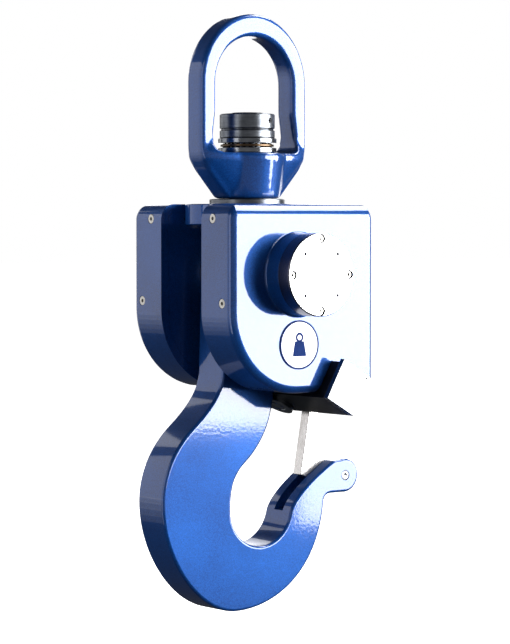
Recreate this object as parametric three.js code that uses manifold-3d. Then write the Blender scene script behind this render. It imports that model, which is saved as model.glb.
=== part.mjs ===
// Motor-turned crane hook block with a weighing axle: a swivel eye carries a two-shell housing, and a plate
// hook hangs on a strain-gauged axle between the shells, where a geared motor turns it to let the load go.
// Millimetres. X runs along the housing's broad faces, Y along the hook's axle, Z up.
// The pieces are laid out from the axle's centre, and the finished group is lowered so that its origin is
// the eye's inner crown, where a crane hook bears.
import * as THREE from "three";
import { mergeVertices } from "three/addons/utils/BufferGeometryUtils.js";
import Module from "manifold-3d";

const wasm = await Module();
wasm.setup();

// ---- general fits ----
const FIT = 0.3; // gap between pieces that touch
const RUN = 0.3; // radial running gap of turning pieces
const SEG = 32; // sides of the large round pieces
const SMALL = 8; // sides of screws and small pins

// ---- housing ----
const HOUSING_LEFT = 95; // axle centre to the left flank
const HOUSING_RIGHT = 113; // axle centre to the right flank
const HEADROOM = 2; // between the hook's hub and the shank's head
const TOP_CORNER = 18; // radius of the outline's two top corners
const CORNER_CENTRE = 40.5; // depth of the lower left corner's centre below the axle
const SLOT_WIDTH = 78; // clear width between the two shells
const SHELL_DEPTH = 56;
const SHELL_WALL = 10;
const SHELL_FACE = 8;
const EDGE_ROUND = 9; // the outer face's edges
const TOP_ROUND = 15; // the outer face's top edge
const BOSS_RADIUS = 47;
const BOSS_HEIGHT = 22.5;
const CAP_HEIGHT = 19;
const CAP_EDGE = 1.2;
const CHEEK_THICKNESS = 12;

// ---- crosshead and swivel ----
const CROSSHEAD_THICKNESS = 24;
const CROSSHEAD_HALF_LENGTH = 80;
const SHANK_RADIUS = 20;
const SHANK_HEAD_RADIUS = 30;
const SHANK_HEAD = 12;
const HEAD_SINK = 8; // how deep the shank's head sits in the crosshead
const COLLAR_LAP = 5; // how far the collar reaches over each shell's top
const COLLAR_HEIGHT = 5.8;
const NUT_RADIUS = 32;
const NUT_HEIGHT = 28;
const BEARING_RADIUS = 34;
const RACE_HEIGHT = 5.4;
const CAGE_HEIGHT = 5;

// ---- eye ----
const EYE_BASE_RADIUS = 37.5;
const EYE_FLOOR = 53; // height of the boss from the collar to the floor inside the eye
const EYE_HALF_WIDTH = 76;
const WINDOW_HALF_WIDTH = 55;
const WINDOW_FOOT = 60; // half width of the window at its floor
const WINDOW_HEIGHT = 134; // floor to crown
const CROWN_THICKNESS = 26;
const EYE_THICKNESS = 31;
const EYE_EDGE = 6;
const LEG_FOOT = 60; // height where the eye's outer legs become straight
const TAPER_TOP = 44; // where the two tangents at the taper's bend meet
const TAPER_END = 30; // height and share of the width where the straight taper ends
const TAPER_SHARE = 0.84;
const KNEE_HEIGHT = 46; // the window narrows from its foot up to here
const WINDOW_CORNER = 10;
const BOSS_BLEND = 42; // height over which the boss thins into the legs
const FLARE_SHORT = 8; // the boss reaches its full width this far below the floor
const BOSS_HALF_DEPTH = 45;
const WING_HALF_DEPTH = 32; // of the flatter wings that join the round boss to the legs
const EYE_BUSH_WALL = 4;

// ---- hook ----
const HOOK_THICKNESS = 49;
const HOOK_EDGE = 3.5;
const HUB_WALL = 17.7; // steel round the hub's bush
const AXLE_RADIUS = 28;
const HUB_BUSH_WALL = 4;
const SPACER_LIP = 7.7; // how far the spacer reaches past the bush
const BOWL_RADIUS = 44;
const BOWL_X = 2.5;
const BOWL_DROP = 272.5;
const TIP_X = 128.7;
const TIP_DROP = 241.6;
const TIP_RADIUS = 20.2;
const LATCH_SLOT = 16;
const LATCH_THICKNESS = 15;
const LATCH_PIN_RADIUS = 5.7;
const LATCH_EYE_RADIUS = 17;
const LATCH_EDGE = 0.8;

// ---- drive ----
const GEAR_MODULE = 2;
const GEAR_INSET = 2; // the gear's pitch circle lies this far inside the hub's rim
const PINION_TEETH = 12;
const GEAR_WIDTH = 11;
const PINION_SHAFT_RADIUS = 5;
const MOTOR_RADIUS = 20;
const GEARBOX_RADIUS = 24;
const GEARBOX_LENGTH = 18;

// ---- magnet block ----
const BLOCK_TILT = THREE.MathUtils.degToRad(30);
const BLOCK_WIDTH = 44;
const BLOCK_HEIGHT = 47;
const BLOCK_LEFT = 26; // its lowest left corner, from the axle
const BLOCK_BELOW = 5; // that corner's drop below the shells
const BLOCK_PROUD = 13.5;
const END_PLATE = 6.7;
const END_PLATE_RISE = 3.5;
const BLOCK_CLEARANCE = 0.6;
const MAGNET_RADIUS = 20;
const MAGNET_PROUD = 5;

// ---- sizes that follow ----
const slotHalf = SLOT_WIDTH / 2;
const shellOut = slotHalf + SHELL_DEPTH;
const housingLow = CORNER_CENTRE + HOUSING_LEFT;
const bossOut = shellOut + BOSS_HEIGHT;
const cheekOut = slotHalf + CHEEK_THICKNESS;
const bushRadius = AXLE_RADIUS + RUN + HUB_BUSH_WALL;
const hubRadius = bushRadius + HUB_WALL;
const crossheadLow = hubRadius + HEADROOM + SHANK_HEAD - HEAD_SINK;
const housingTop = crossheadLow + CROSSHEAD_THICKNESS;
const eyeLow = housingTop + COLLAR_HEIGHT + 2 * FIT;
const floorZ = eyeLow + EYE_FLOOR;
const crownZ = floorZ + WINDOW_HEIGHT;
const arcZ = crownZ - WINDOW_HALF_WIDTH;
const eyeTop = crownZ + CROWN_THICKNESS;
const lowerRaceZ = floorZ + FIT;
const cageZ = lowerRaceZ + RACE_HEIGHT + FIT;
const upperRaceZ = cageZ + CAGE_HEIGHT + FIT;
const nutZ = upperRaceZ + RACE_HEIGHT + FIT;
const shankTop = nutZ + NUT_HEIGHT + 1.5;
const hookHalf = HOOK_THICKNESS / 2;
const gearIn = hookHalf + FIT;
const gearOut = gearIn + GEAR_WIDTH;
const gearTeeth = Math.round((2 * (hubRadius - GEAR_INSET)) / GEAR_MODULE);
const gearPitch = (GEAR_MODULE * gearTeeth) / 2;
const pinionPitch = (GEAR_MODULE * PINION_TEETH) / 2;
const pinionX = gearPitch + pinionPitch;

// ---- solids ----
// A closed geometry as a manifold solid, facing out.
function solid(geometry) {
  const bare = geometry.clone();
  bare.deleteAttribute("normal");
  bare.deleteAttribute("uv");
  const merged = mergeVertices(bare, 1e-4);
  const triVerts = new Uint32Array(merged.index.array);
  const vertProperties = merged.attributes.position.array;
  return new wasm.Manifold(new wasm.Mesh({ numProp: 3, vertProperties, triVerts }));
}

function geometryOf(body) {
  const mesh = body.getMesh();
  const geometry = new THREE.BufferGeometry();
  geometry.setAttribute("position", new THREE.BufferAttribute(mesh.vertProperties, 3));
  geometry.setIndex(new THREE.BufferAttribute(mesh.triVerts, 1));
  geometry.computeVertexNormals();
  return geometry;
}

// An outline in X and Z, extruded along Y from y0 to y1, with its edges rounded by edge at both ends.
function plate(shape, y0, y1, edge = 0, steps = 2, curveSegments = 10) {
  const geometry = new THREE.ExtrudeGeometry(shape, {
    depth: y1 - y0 - 2 * edge,
    bevelEnabled: edge > 0,
    bevelThickness: edge,
    bevelSize: edge,
    bevelOffset: -edge,
    bevelSegments: steps,
    curveSegments,
  });
  geometry.rotateX(Math.PI / 2);
  return solid(geometry.translate(0, y1 - edge, 0));
}

// A profile of [radius, place] points turned about an axis through the origin.
function turned(profile, axis, sides = SEG) {
  const points = profile.map(([r, a]) => new THREE.Vector2(r, a));
  const onAxis = points[0].x === 0 && points.at(-1).x === 0;
  if (THREE.ShapeUtils.area(points) < 0) points.reverse();
  if (!onAxis) points.push(points[0].clone());
  const geometry = new THREE.LatheGeometry(points, sides);
  if (axis === "z") geometry.rotateX(Math.PI / 2);
  if (axis === "x") geometry.rotateZ(-Math.PI / 2);
  return solid(geometry);
}

function rod(radius, a0, a1, axis, sides = SEG) {
  return turned([[0, a0], [radius, a0], [radius, a1], [0, a1]], axis, sides);
}

function ring(inner, outer, a0, a1, axis, sides = SEG) {
  return turned([[inner, a0], [outer, a0], [outer, a1], [inner, a1]], axis, sides);
}

function block(x0, x1, y0, y1, z0, z1) {
  const geometry = new THREE.BoxGeometry(x1 - x0, y1 - y0, z1 - z0);
  geometry.translate((x0 + x1) / 2, (y0 + y1) / 2, (z0 + z1) / 2);
  return solid(geometry);
}

function outline(points) {
  return new THREE.Shape(points.map(([x, z]) => new THREE.Vector2(x, z)));
}

// ---- finishes ----
function finish(color, roughness, metalness) {
  return new THREE.MeshStandardMaterial({ color, roughness, metalness });
}
const BLUE = finish(0x1f4fa0, 0.28, 0.5);
const STEEL = finish(0xc9ccd0, 0.3, 1);
const DARK_STEEL = finish(0x55585c, 0.4, 0.9);
const BLACK_STEEL = finish(0x2b2d30, 0.45, 0.8);
const BRONZE = finish(0xa8783c, 0.4, 1);
const PLASTIC = finish(0x202226, 0.6, 0);
const BOARD = finish(0x1d5a34, 0.5, 0);
const LABEL = finish(0xeef2f6, 0.35, 0);

const assembly = new THREE.Group();
assembly.position.z = -crownZ;

function add(name, body, material) {
  const mesh = new THREE.Mesh(geometryOf(body), material);
  mesh.name = name;
  assembly.add(mesh);
}

const SIDES = [["near", -1], ["far", 1]];
// A body built on the far side, turned round to the near side where the side is -1.
function onSide(body, side) {
  return side > 0 ? body : body.mirror([0, 1, 0]);
}

// ---- magnet block's outline, turned about its lowest left corner ----
// low, high, left and right are how far each edge moves outwards.
function blockCorners(left, low, right, high) {
  const u = new THREE.Vector2(Math.cos(BLOCK_TILT), -Math.sin(BLOCK_TILT));
  const v = new THREE.Vector2(Math.sin(BLOCK_TILT), Math.cos(BLOCK_TILT));
  const corner = (a, b) => [
    BLOCK_LEFT + u.x * a + v.x * b,
    -(housingLow + BLOCK_BELOW) + u.y * a + v.y * b,
  ];
  return [
    corner(-left, -low),
    corner(BLOCK_WIDTH + right, -low),
    corner(BLOCK_WIDTH + right, BLOCK_HEIGHT + high),
    corner(-left, BLOCK_HEIGHT + high),
  ];
}

// What the block takes out of the housing: its own outline with a gap, and all that lies right of it.
function blockRoom(gap) {
  const corners = blockCorners(gap, 2 * HOUSING_LEFT, gap, gap);
  const [lowLeft, , highRight, highLeft] = corners;
  const far = 2 * HOUSING_RIGHT;
  return plate(outline([lowLeft, [far, lowLeft[1]], [far, highRight[1]], highRight, highLeft]), -far, far);
}

// ---- housing outline, moved in by inset ----
function housingShape(inset) {
  const shape = new THREE.Shape();
  const radius = HOUSING_LEFT - inset;
  const corner = TOP_CORNER - inset;
  const cornerZ = housingTop - TOP_CORNER;
  shape.moveTo(-radius, -CORNER_CENTRE);
  shape.absarc(0, -CORNER_CENTRE, radius, Math.PI, 1.5 * Math.PI, false);
  shape.lineTo(HOUSING_RIGHT - inset, -CORNER_CENTRE - radius);
  shape.absarc(HOUSING_RIGHT - TOP_CORNER, cornerZ, corner, 0, Math.PI / 2, false);
  shape.absarc(TOP_CORNER - HOUSING_LEFT, cornerZ, corner, Math.PI / 2, Math.PI, false);
  return shape;
}

const SIDE_SCREW_UPPER = { z: housingTop - 17, y: slotHalf + 20.5 };
const SIDE_SCREW_LOWER = { z: -32, y: slotHalf + 38 };
const SIDE_SCREW_HEAD = 5.6;
const SIDE_SCREW_SHAFT = 3;
const SIDE_SCREW_LENGTH = 20;
const LUG_HALF = 9;

// A countersunk screw along +X from its flush head at x = 0.
function sideScrew() {
  const head = SIDE_SCREW_HEAD;
  const shaft = SIDE_SCREW_SHAFT;
  const socket = 1.8;
  const profile = [[0, 2], [socket, 2], [socket, 0.2], [head, 0.2], [shaft, 3.4]];
  return turned([...profile, [shaft, SIDE_SCREW_LENGTH], [0, SIDE_SCREW_LENGTH]], "x", SMALL);
}

function sideScrewHole() {
  const head = SIDE_SCREW_HEAD + FIT;
  const shaft = SIDE_SCREW_SHAFT + FIT;
  const profile = [[0, -1], [head, -1], [head, 0.2], [shaft, 3.4 + FIT]];
  return turned([...profile, [shaft, SIDE_SCREW_LENGTH + 2], [0, SIDE_SCREW_LENGTH + 2]], "x", SMALL);
}

// Calls use with the flank's x, the direction into the housing, and the screw's y and z.
function forEachSideScrew(use) {
  for (const [flank, inward] of [[-HOUSING_LEFT, 1], [HOUSING_RIGHT, -1]]) {
    for (const place of [SIDE_SCREW_UPPER, SIDE_SCREW_LOWER]) use(flank, inward, place);
  }
}

function placed(body, flank, inward, place) {
  const facing = inward > 0 ? body : body.mirror([1, 0, 0]);
  return facing.translate([flank, place.y, place.z]);
}

// All that lies outside the slot, with the large rounding along the outer face's top edge.
function topRounding() {
  const shape = new THREE.Shape();
  const far = 2 * HOUSING_RIGHT;
  shape.moveTo(slotHalf, -far);
  shape.lineTo(shellOut, -far);
  shape.absarc(shellOut - TOP_ROUND, housingTop - TOP_ROUND, TOP_ROUND, 0, Math.PI / 2, false);
  shape.lineTo(slotHalf, housingTop);
  return plate(shape, -far, far, 0, 0, 6).rotate([0, 0, 90]);
}

// A cast shell: face, walls and axle boss in one, open towards the slot.
function housingShell() {
  const rounded = plate(housingShape(0), slotHalf - 2 * EDGE_ROUND, shellOut, EDGE_ROUND, 3, 9);
  const boss = rod(BOSS_RADIUS, shellOut - 4, bossOut, "y");
  const hollow = plate(housingShape(SHELL_WALL), slotHalf - 1, shellOut - SHELL_FACE, 0, 0, 9);
  const bore = rod(AXLE_RADIUS + FIT, slotHalf, bossOut + 1, "y");
  let body = rounded.intersect(topRounding()).subtract(blockRoom(BLOCK_CLEARANCE)).add(boss);
  body = body.subtract(hollow.subtract(blockRoom(BLOCK_CLEARANCE + SHELL_WALL)));
  body = body.subtract(bore);
  forEachSideScrew((flank, inward, place) => {
    body = body.subtract(placed(sideScrewHole(), flank, inward, place));
  });
  for (const [x, z] of capScrewPlaces()) {
    const hole = rod(CAP_SCREW_SHAFT + FIT, bossOut - 10, bossOut + 1, "y", SMALL);
    body = body.subtract(hole.translate([x, 0, z]));
  }
  return body;
}

// The steel cheek inside each shell: it carries the axle and crosshead, and its lugs take the side screws.
const CROSSHEAD_BOLT_RADIUS = 4;
const CROSSHEAD_BOLT_X = 58;
const CROSSHEAD_BOLT_HEAD = 6.5;
const crossheadBoltZ = housingTop - SHELL_WALL - CROSSHEAD_BOLT_HEAD - 2 * FIT;
const SPINE_THICKNESS = 10;
const SPINE_GROOVE = 3;
const spineOut = HOUSING_RIGHT - SHELL_WALL - 4;

function cheek(side) {
  const inset = SHELL_WALL + FIT;
  let body = plate(housingShape(inset), slotHalf, cheekOut, 0, 0, 9);
  forEachSideScrew((flank, inward, place) => {
    const near = flank + inward * inset;
    const deep = flank + inward * (SIDE_SCREW_LENGTH + 6);
    const x = [near, deep].sort((a, b) => a - b);
    body = body.add(block(x[0], x[1], slotHalf, place.y + LUG_HALF, place.z - LUG_HALF, place.z + LUG_HALF));
  });
  body = body.intersect(plate(housingShape(inset), slotHalf, shellOut, 0, 0, 9));
  forEachSideScrew((flank, inward, place) => {
    body = body.subtract(placed(sideScrewHole(), flank, inward, place));
  });
  body = body.subtract(blockRoom(BLOCK_CLEARANCE + SHELL_WALL + FIT));
  body = body.subtract(rod(AXLE_RADIUS + FIT, 0, bossOut, "y"));
  for (const x of [-CROSSHEAD_BOLT_X, CROSSHEAD_BOLT_X]) {
    const hole = rod(CROSSHEAD_BOLT_RADIUS + FIT, 0, bossOut, "y", SMALL);
    body = body.subtract(hole.translate([x, 0, crossheadBoltZ]));
  }
  const grooveIn = spineOut - SPINE_THICKNESS - FIT;
  body = body.subtract(block(grooveIn, spineOut + FIT, 0, slotHalf + SPINE_GROOVE, -300, 300));
  // The near cheek lets the pinion's shaft through to the gearbox.
  if (side > 0) return body;
  return body.subtract(rod(PINION_SHAFT_RADIUS + 1, 0, cheekOut + 1, "y", 16).translate([pinionX, 0, 0]));
}

// ---- axle caps ----
const CAP_SCREW_CIRCLE = 40.6;
const CAP_SCREW_HEAD = 4.7;
const CAP_SCREW_SHAFT = 2.5;
const CAP_HOLE_CIRCLE = 33;
const CAP_HOLE_RADIUS = 2;

function capScrewPlaces() {
  return [0, 1, 2, 3].map((i) => [
    CAP_SCREW_CIRCLE * Math.cos((i * Math.PI) / 2),
    CAP_SCREW_CIRCLE * Math.sin((i * Math.PI) / 2),
  ]);
}

const capIn = bossOut + FIT;
const capOut = capIn + CAP_HEIGHT;

function capScrewProfile(grow) {
  const head = CAP_SCREW_HEAD + grow;
  const shaft = CAP_SCREW_SHAFT + grow;
  const end = capIn - 9;
  return [[0, end], [shaft, end], [shaft, capOut - 3 - grow], [head, capOut - 0.4 - grow]];
}

function axleCap() {
  const r = BOSS_RADIUS;
  const profile = [[0, capIn], [r, capIn], [r, capOut - CAP_EDGE], [r - CAP_EDGE, capOut], [0, capOut]];
  let body = turned(profile, "y");
  const top = CAP_SCREW_HEAD + FIT;
  const hole = turned([...capScrewProfile(FIT), [top, capOut + 1], [0, capOut + 1]], "y", SMALL);
  for (const [x, z] of capScrewPlaces()) body = body.subtract(hole.translate([x, 0, z]));
  for (let i = 0; i < 4; i++) {
    const angle = (i + 0.5) * (Math.PI / 2);
    const pilot = rod(CAP_HOLE_RADIUS, capOut - 7, capOut + 1, "y", 6);
    const x = CAP_HOLE_CIRCLE * Math.cos(angle);
    const z = CAP_HOLE_CIRCLE * Math.sin(angle);
    body = body.subtract(pilot.translate([x, 0, z]));
  }
  return body;
}

function capScrew() {
  const socket = 2;
  const end = capOut - 2.6;
  return turned([...capScrewProfile(0), [socket, capOut - 0.4], [socket, end], [0, end]], "y", SMALL);
}

// ---- crosshead and swivel ----
function crosshead() {
  const half = slotHalf - FIT;
  const straight = CROSSHEAD_HALF_LENGTH - half;
  const shape = new THREE.Shape();
  shape.absarc(straight, 0, half, -Math.PI / 2, Math.PI / 2, false);
  shape.absarc(-straight, 0, half, Math.PI / 2, 1.5 * Math.PI, false);
  const depth = CROSSHEAD_THICKNESS;
  const geometry = new THREE.ExtrudeGeometry(shape, { depth, bevelEnabled: false, curveSegments: 12 });
  let body = solid(geometry.translate(0, 0, crossheadLow));
  body = body.subtract(rod(SHANK_RADIUS + FIT, crossheadLow - 1, housingTop + 1, "z"));
  body = body.subtract(rod(SHANK_HEAD_RADIUS + FIT, crossheadLow - 1, crossheadLow + HEAD_SINK + FIT, "z"));
  for (const x of [-CROSSHEAD_BOLT_X, CROSSHEAD_BOLT_X]) {
    const hole = rod(CROSSHEAD_BOLT_RADIUS + FIT, -slotHalf, slotHalf, "y", SMALL);
    body = body.subtract(hole.translate([x, 0, crossheadBoltZ]));
  }
  return body;
}

// A socket-headed bolt through a cheek into the crosshead's end.
function crossheadBolt() {
  const shaft = CROSSHEAD_BOLT_RADIUS;
  const head = cheekOut + FIT;
  const start = slotHalf - 24;
  const thread = turned([[0, start], [shaft, start], [shaft, head + 1], [0, head + 1]], "y", SMALL);
  return thread.add(rod(CROSSHEAD_BOLT_HEAD, head, head + 8, "y", SMALL));
}

function shank() {
  const low = crossheadLow + HEAD_SINK - SHANK_HEAD;
  const shoulder = crossheadLow + HEAD_SINK;
  const r = SHANK_RADIUS;
  const head = SHANK_HEAD_RADIUS;
  const profile = [[0, low], [head, low], [head, shoulder], [r, shoulder], [r, shankTop - 2]];
  return turned([...profile, [r - 2, shankTop], [0, shankTop]], "z", 24);
}

function collar() {
  const z0 = housingTop + FIT;
  const inner = SHANK_RADIUS + FIT;
  const r = slotHalf + COLLAR_LAP;
  const z1 = z0 + COLLAR_HEIGHT;
  return turned([[inner, z0], [r, z0], [r, z1 - 1], [r - 1, z1], [inner, z1]], "z");
}

const NUT_LOCK_RADIUS = 3;
function nut() {
  const bore = SHANK_RADIUS + FIT;
  const r = NUT_RADIUS;
  const top = nutZ + NUT_HEIGHT;
  const neck = nutZ + 10;
  const profile = [[bore, nutZ], [r - 1, nutZ], [r, nutZ + 1], [r, neck - 1], [r - 1.2, neck], [r, neck + 1]];
  let body = turned([...profile, [r, top - 1.5], [r - 1.5, top], [bore, top]], "z");
  const lock = rod(NUT_LOCK_RADIUS + FIT, 0, r + 5, "x", SMALL);
  return body.subtract(placeLock(lock));
}

// The nut's lock screw points out between the eye's legs, towards the near side.
function placeLock(body) {
  return body.rotate([0, 0, -72]).translate([0, 0, nutZ + NUT_HEIGHT - 8]);
}

function lockScrew() {
  const start = SHANK_RADIUS + 2 * FIT;
  const end = NUT_RADIUS - 0.6;
  const socket = 1.4;
  const r = NUT_LOCK_RADIUS;
  const profile = [[0, start], [r, start], [r, end], [socket, end], [socket, end - 2.5], [0, end - 2.5]];
  return turned(profile, "x", SMALL);
}

function race(z0) {
  const inner = SHANK_RADIUS + 1;
  const r = BEARING_RADIUS;
  const z1 = z0 + RACE_HEIGHT;
  return turned([[inner, z0], [r, z0], [r, z1], [inner, z1]], "z");
}

// The cage with its balls: one brass ring with a ball standing out of both faces at each pocket.
function cage() {
  const middle = cageZ + CAGE_HEIGHT / 2;
  let body = ring(SHANK_RADIUS + 2, BEARING_RADIUS - 1.5, middle - 1.2, middle + 1.2, "z", 24);
  const balls = 8;
  for (let i = 0; i < balls; i++) {
    const angle = (i * 2 * Math.PI) / balls;
    const geometry = new THREE.SphereGeometry(CAGE_HEIGHT / 2, 6, 4);
    const centre = (SHANK_RADIUS + BEARING_RADIUS) / 2;
    geometry.translate(centre * Math.cos(angle), centre * Math.sin(angle), middle);
    body = body.add(solid(geometry));
  }
  return body;
}

// ---- eye ----
// The window inside the eye: a round crown, straight legs and a wider foot on the boss.
function windowShape() {
  const shape = new THREE.Shape();
  const w = WINDOW_HALF_WIDTH;
  const kneeZ = floorZ + KNEE_HEIGHT;
  const corner = WINDOW_CORNER;
  shape.moveTo(-w, kneeZ);
  shape.lineTo(-WINDOW_FOOT, floorZ + corner);
  shape.quadraticCurveTo(-WINDOW_FOOT - 1, floorZ, -WINDOW_FOOT + corner, floorZ);
  shape.lineTo(WINDOW_FOOT - corner, floorZ);
  shape.quadraticCurveTo(WINDOW_FOOT + 1, floorZ, WINDOW_FOOT, floorZ + corner);
  shape.lineTo(w, kneeZ);
  shape.lineTo(w, arcZ);
  shape.absarc(0, arcZ, w, 0, Math.PI, false);
  return shape;
}

// The eye's outline: an elliptical crown, straight legs and a taper to the round base.
function eyeShape() {
  const shape = new THREE.Shape();
  const w = EYE_HALF_WIDTH;
  shape.moveTo(w, arcZ);
  shape.absellipse(0, arcZ, w, eyeTop - arcZ, 0, Math.PI, false);
  shape.lineTo(-w, eyeLow + LEG_FOOT);
  shape.quadraticCurveTo(-w, eyeLow + TAPER_TOP, -w * TAPER_SHARE, eyeLow + TAPER_END);
  shape.lineTo(-EYE_BASE_RADIUS, eyeLow);
  shape.lineTo(EYE_BASE_RADIUS, eyeLow);
  shape.lineTo(w * TAPER_SHARE, eyeLow + TAPER_END);
  shape.quadraticCurveTo(w, eyeLow + TAPER_TOP, w, eyeLow + LEG_FOOT);
  return shape;
}

// The forged boss: a round cone, with wings that widen to the legs' width and then thin into the legs.
function eyeBoss() {
  const height = EYE_FLOOR + BOSS_BLEND;
  const rows = 9;
  const geometry = new THREE.CylinderGeometry(1, 1, 1, 28, rows);
  geometry.rotateX(Math.PI / 2);
  const place = geometry.attributes.position;
  for (let i = 0; i < place.count; i++) {
    const t = place.getZ(i) + 0.5;
    const z = eyeLow + height * t;
    const rise = Math.min(1, (height * t) / (EYE_FLOOR - FLARE_SHORT));
    const wide = EYE_BASE_RADIUS + (EYE_HALF_WIDTH + EYE_EDGE - EYE_BASE_RADIUS) * rise;
    const past = Math.max(0, (height * t - EYE_FLOOR) / (height - EYE_FLOOR));
    const thin = EYE_THICKNESS / 2 - 1;
    const deep = WING_HALF_DEPTH + (thin - WING_HALF_DEPTH) * Math.sin((past * Math.PI) / 2);
    place.setXYZ(i, place.getX(i) * wide, place.getY(i) * deep, z);
  }
  const rim = floorZ - FLARE_SHORT / 2;
  const r = BOSS_HALF_DEPTH;
  const cone = [[0, eyeLow], [EYE_BASE_RADIUS, eyeLow], [r, rim], [r - 2, floorZ], [0, floorZ]];
  return solid(geometry).add(turned(cone, "z"));
}

const eyeBore = SHANK_RADIUS + RUN + EYE_BUSH_WALL;
function eye() {
  const half = EYE_THICKNESS / 2;
  const ringBody = plate(eyeShape(), -half, half, EYE_EDGE, 2, 8);
  const silhouette = plate(eyeShape(), -BOSS_HALF_DEPTH - 1, BOSS_HALF_DEPTH + 1, 0, 0, 9);
  let body = ringBody.add(eyeBoss().intersect(silhouette));
  body = body.subtract(plate(windowShape(), -BOSS_HALF_DEPTH - 2, BOSS_HALF_DEPTH + 2, 0, 0, 9));
  return body.subtract(rod(eyeBore + FIT, eyeLow - 1, floorZ + 1, "z", 32));
}

// ---- hook ----
function hookShape() {
  const shape = new THREE.Shape();
  const hub = hubRadius;
  const bowlZ = -BOWL_DROP;
  const tipZ = -TIP_DROP;
  const tip = TIP_RADIUS;
  shape.absarc(0, 0, hub, -0.45, Math.PI, false);
  shape.lineTo(-53.5, -112);
  shape.bezierCurveTo(-53.5, -138, -79.5, -161, -97, -175.5);
  shape.bezierCurveTo(-122.5, -197, -138.5, -226, -138.5, -259);
  shape.bezierCurveTo(-138.5, -323.5, -86.5, -389.5, -32, -389.5);
  shape.bezierCurveTo(27.5, -389.5, 88.5, -351, 96.5, -271);
  shape.quadraticCurveTo(97.5, tipZ - tip, 108, tipZ - tip);
  shape.lineTo(TIP_X, tipZ - tip);
  shape.absarc(TIP_X, tipZ, tip, -Math.PI / 2, 0.6 * Math.PI, false);
  shape.quadraticCurveTo(116, tipZ + tip - 1, 111, tipZ + tip - 2.2);
  const bowlStart = -0.21;
  const bowlEnd = Math.PI - 0.1;
  shape.bezierCurveTo(
    86, tipZ + 4, 50.5, -262.5,
    BOWL_X + BOWL_RADIUS * Math.cos(bowlStart), bowlZ + BOWL_RADIUS * Math.sin(bowlStart),
  );
  shape.absarc(BOWL_X, bowlZ, BOWL_RADIUS, bowlStart, -2 * Math.PI + bowlEnd, true);
  shape.bezierCurveTo(-41.3, -228.5, -22.5, -222.5, -9, -208);
  shape.bezierCurveTo(13.5, -184, 21, -157.5, 22, -125);
  return shape;
}

// The slot in the nose that takes the latch: it runs out through the tip and down to the bowl.
function latchSlot() {
  const tipZ = -TIP_DROP;
  const clear = TIP_RADIUS + 4;
  const shape = new THREE.Shape();
  shape.moveTo(TIP_X + 2 * clear, tipZ + 3 * clear);
  shape.lineTo(TIP_X + 2 * clear, tipZ - clear);
  shape.lineTo(TIP_X - 21, tipZ - clear);
  shape.quadraticCurveTo(TIP_X - 44, tipZ - 36, TIP_X - 85, tipZ - 38);
  shape.lineTo(BOWL_X, tipZ - 38);
  shape.lineTo(BOWL_X, tipZ + 3 * clear);
  return plate(shape, -LATCH_SLOT / 2, LATCH_SLOT / 2, 0, 0, 6);
}

// The three screws that hold the gear to the hook's near face.
const GEAR_SCREW_WALL = 7.2; // from the bush to the screws' circle
const GEAR_SCREW_RADIUS = 2.5;
const GEAR_SCREW_HEAD = 4.2;
const GEAR_SCREWS = 3;

function gearScrewPlaces() {
  const circle = bushRadius + GEAR_SCREW_WALL;
  const places = [];
  for (let i = 0; i < GEAR_SCREWS; i++) {
    const angle = Math.PI / 2 + (i * 2 * Math.PI) / GEAR_SCREWS;
    places.push([circle * Math.cos(angle), circle * Math.sin(angle)]);
  }
  return places;
}

function gearScrewHoles(body, radius, y0, y1) {
  for (const [x, z] of gearScrewPlaces()) {
    body = body.subtract(rod(radius, y0, y1, "y", SMALL).translate([x, 0, z]));
  }
  return body;
}

const gearScrewEnd = -(gearIn - 12);
const gearScrewSeat = -(gearOut - 5);
function gearScrew() {
  const shaft = GEAR_SCREW_RADIUS;
  const head = GEAR_SCREW_HEAD;
  const seat = gearScrewSeat - FIT;
  const top = -gearOut + FIT;
  const profile = [[0, gearScrewEnd], [shaft, gearScrewEnd], [shaft, seat], [head, seat], [head, top], [0, top]];
  return turned(profile, "y", SMALL);
}

function hook() {
  let body = plate(hookShape(), -hookHalf, hookHalf, HOOK_EDGE, 1, 7);
  body = body.subtract(rod(bushRadius + FIT, -hookHalf - 1, hookHalf + 1, "y"));
  body = body.subtract(latchSlot());
  const pinHole = rod(LATCH_PIN_RADIUS + FIT, -hookHalf - 1, hookHalf + 1, "y", 20);
  body = body.subtract(pinHole.translate([TIP_X, 0, -TIP_DROP]));
  return gearScrewHoles(body, GEAR_SCREW_RADIUS + FIT, -hookHalf - 1, gearScrewEnd + 1);
}

// The latch: a plate from the pin up to the throat, with a heel in the slot and a round back.
const LATCH_HEAD_Z = TIP_DROP - 79; // drop of the latch's head below the axle
function latchShape() {
  const z = -TIP_DROP;
  const shape = new THREE.Shape();
  shape.moveTo(TIP_X - 54.5, z + 3);
  shape.lineTo(TIP_X - 41, -LATCH_HEAD_Z);
  shape.lineTo(TIP_X - 26, -LATCH_HEAD_Z - 5);
  shape.lineTo(TIP_X - 22, z + 56);
  shape.quadraticCurveTo(TIP_X - 10, z + 59, TIP_X + 2, z + 58);
  shape.bezierCurveTo(TIP_X + 22, z + 57, TIP_X + 35, z + 45, TIP_X + 33, z + 28);
  shape.quadraticCurveTo(TIP_X + 31, z + 16, TIP_X + LATCH_EYE_RADIUS, z);
  shape.absarc(TIP_X, z, LATCH_EYE_RADIUS, 0, -Math.PI / 2 - 0.35, true);
  shape.quadraticCurveTo(TIP_X - 30, z - 8, TIP_X - 54.5, z + 3);
  return shape;
}

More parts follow.
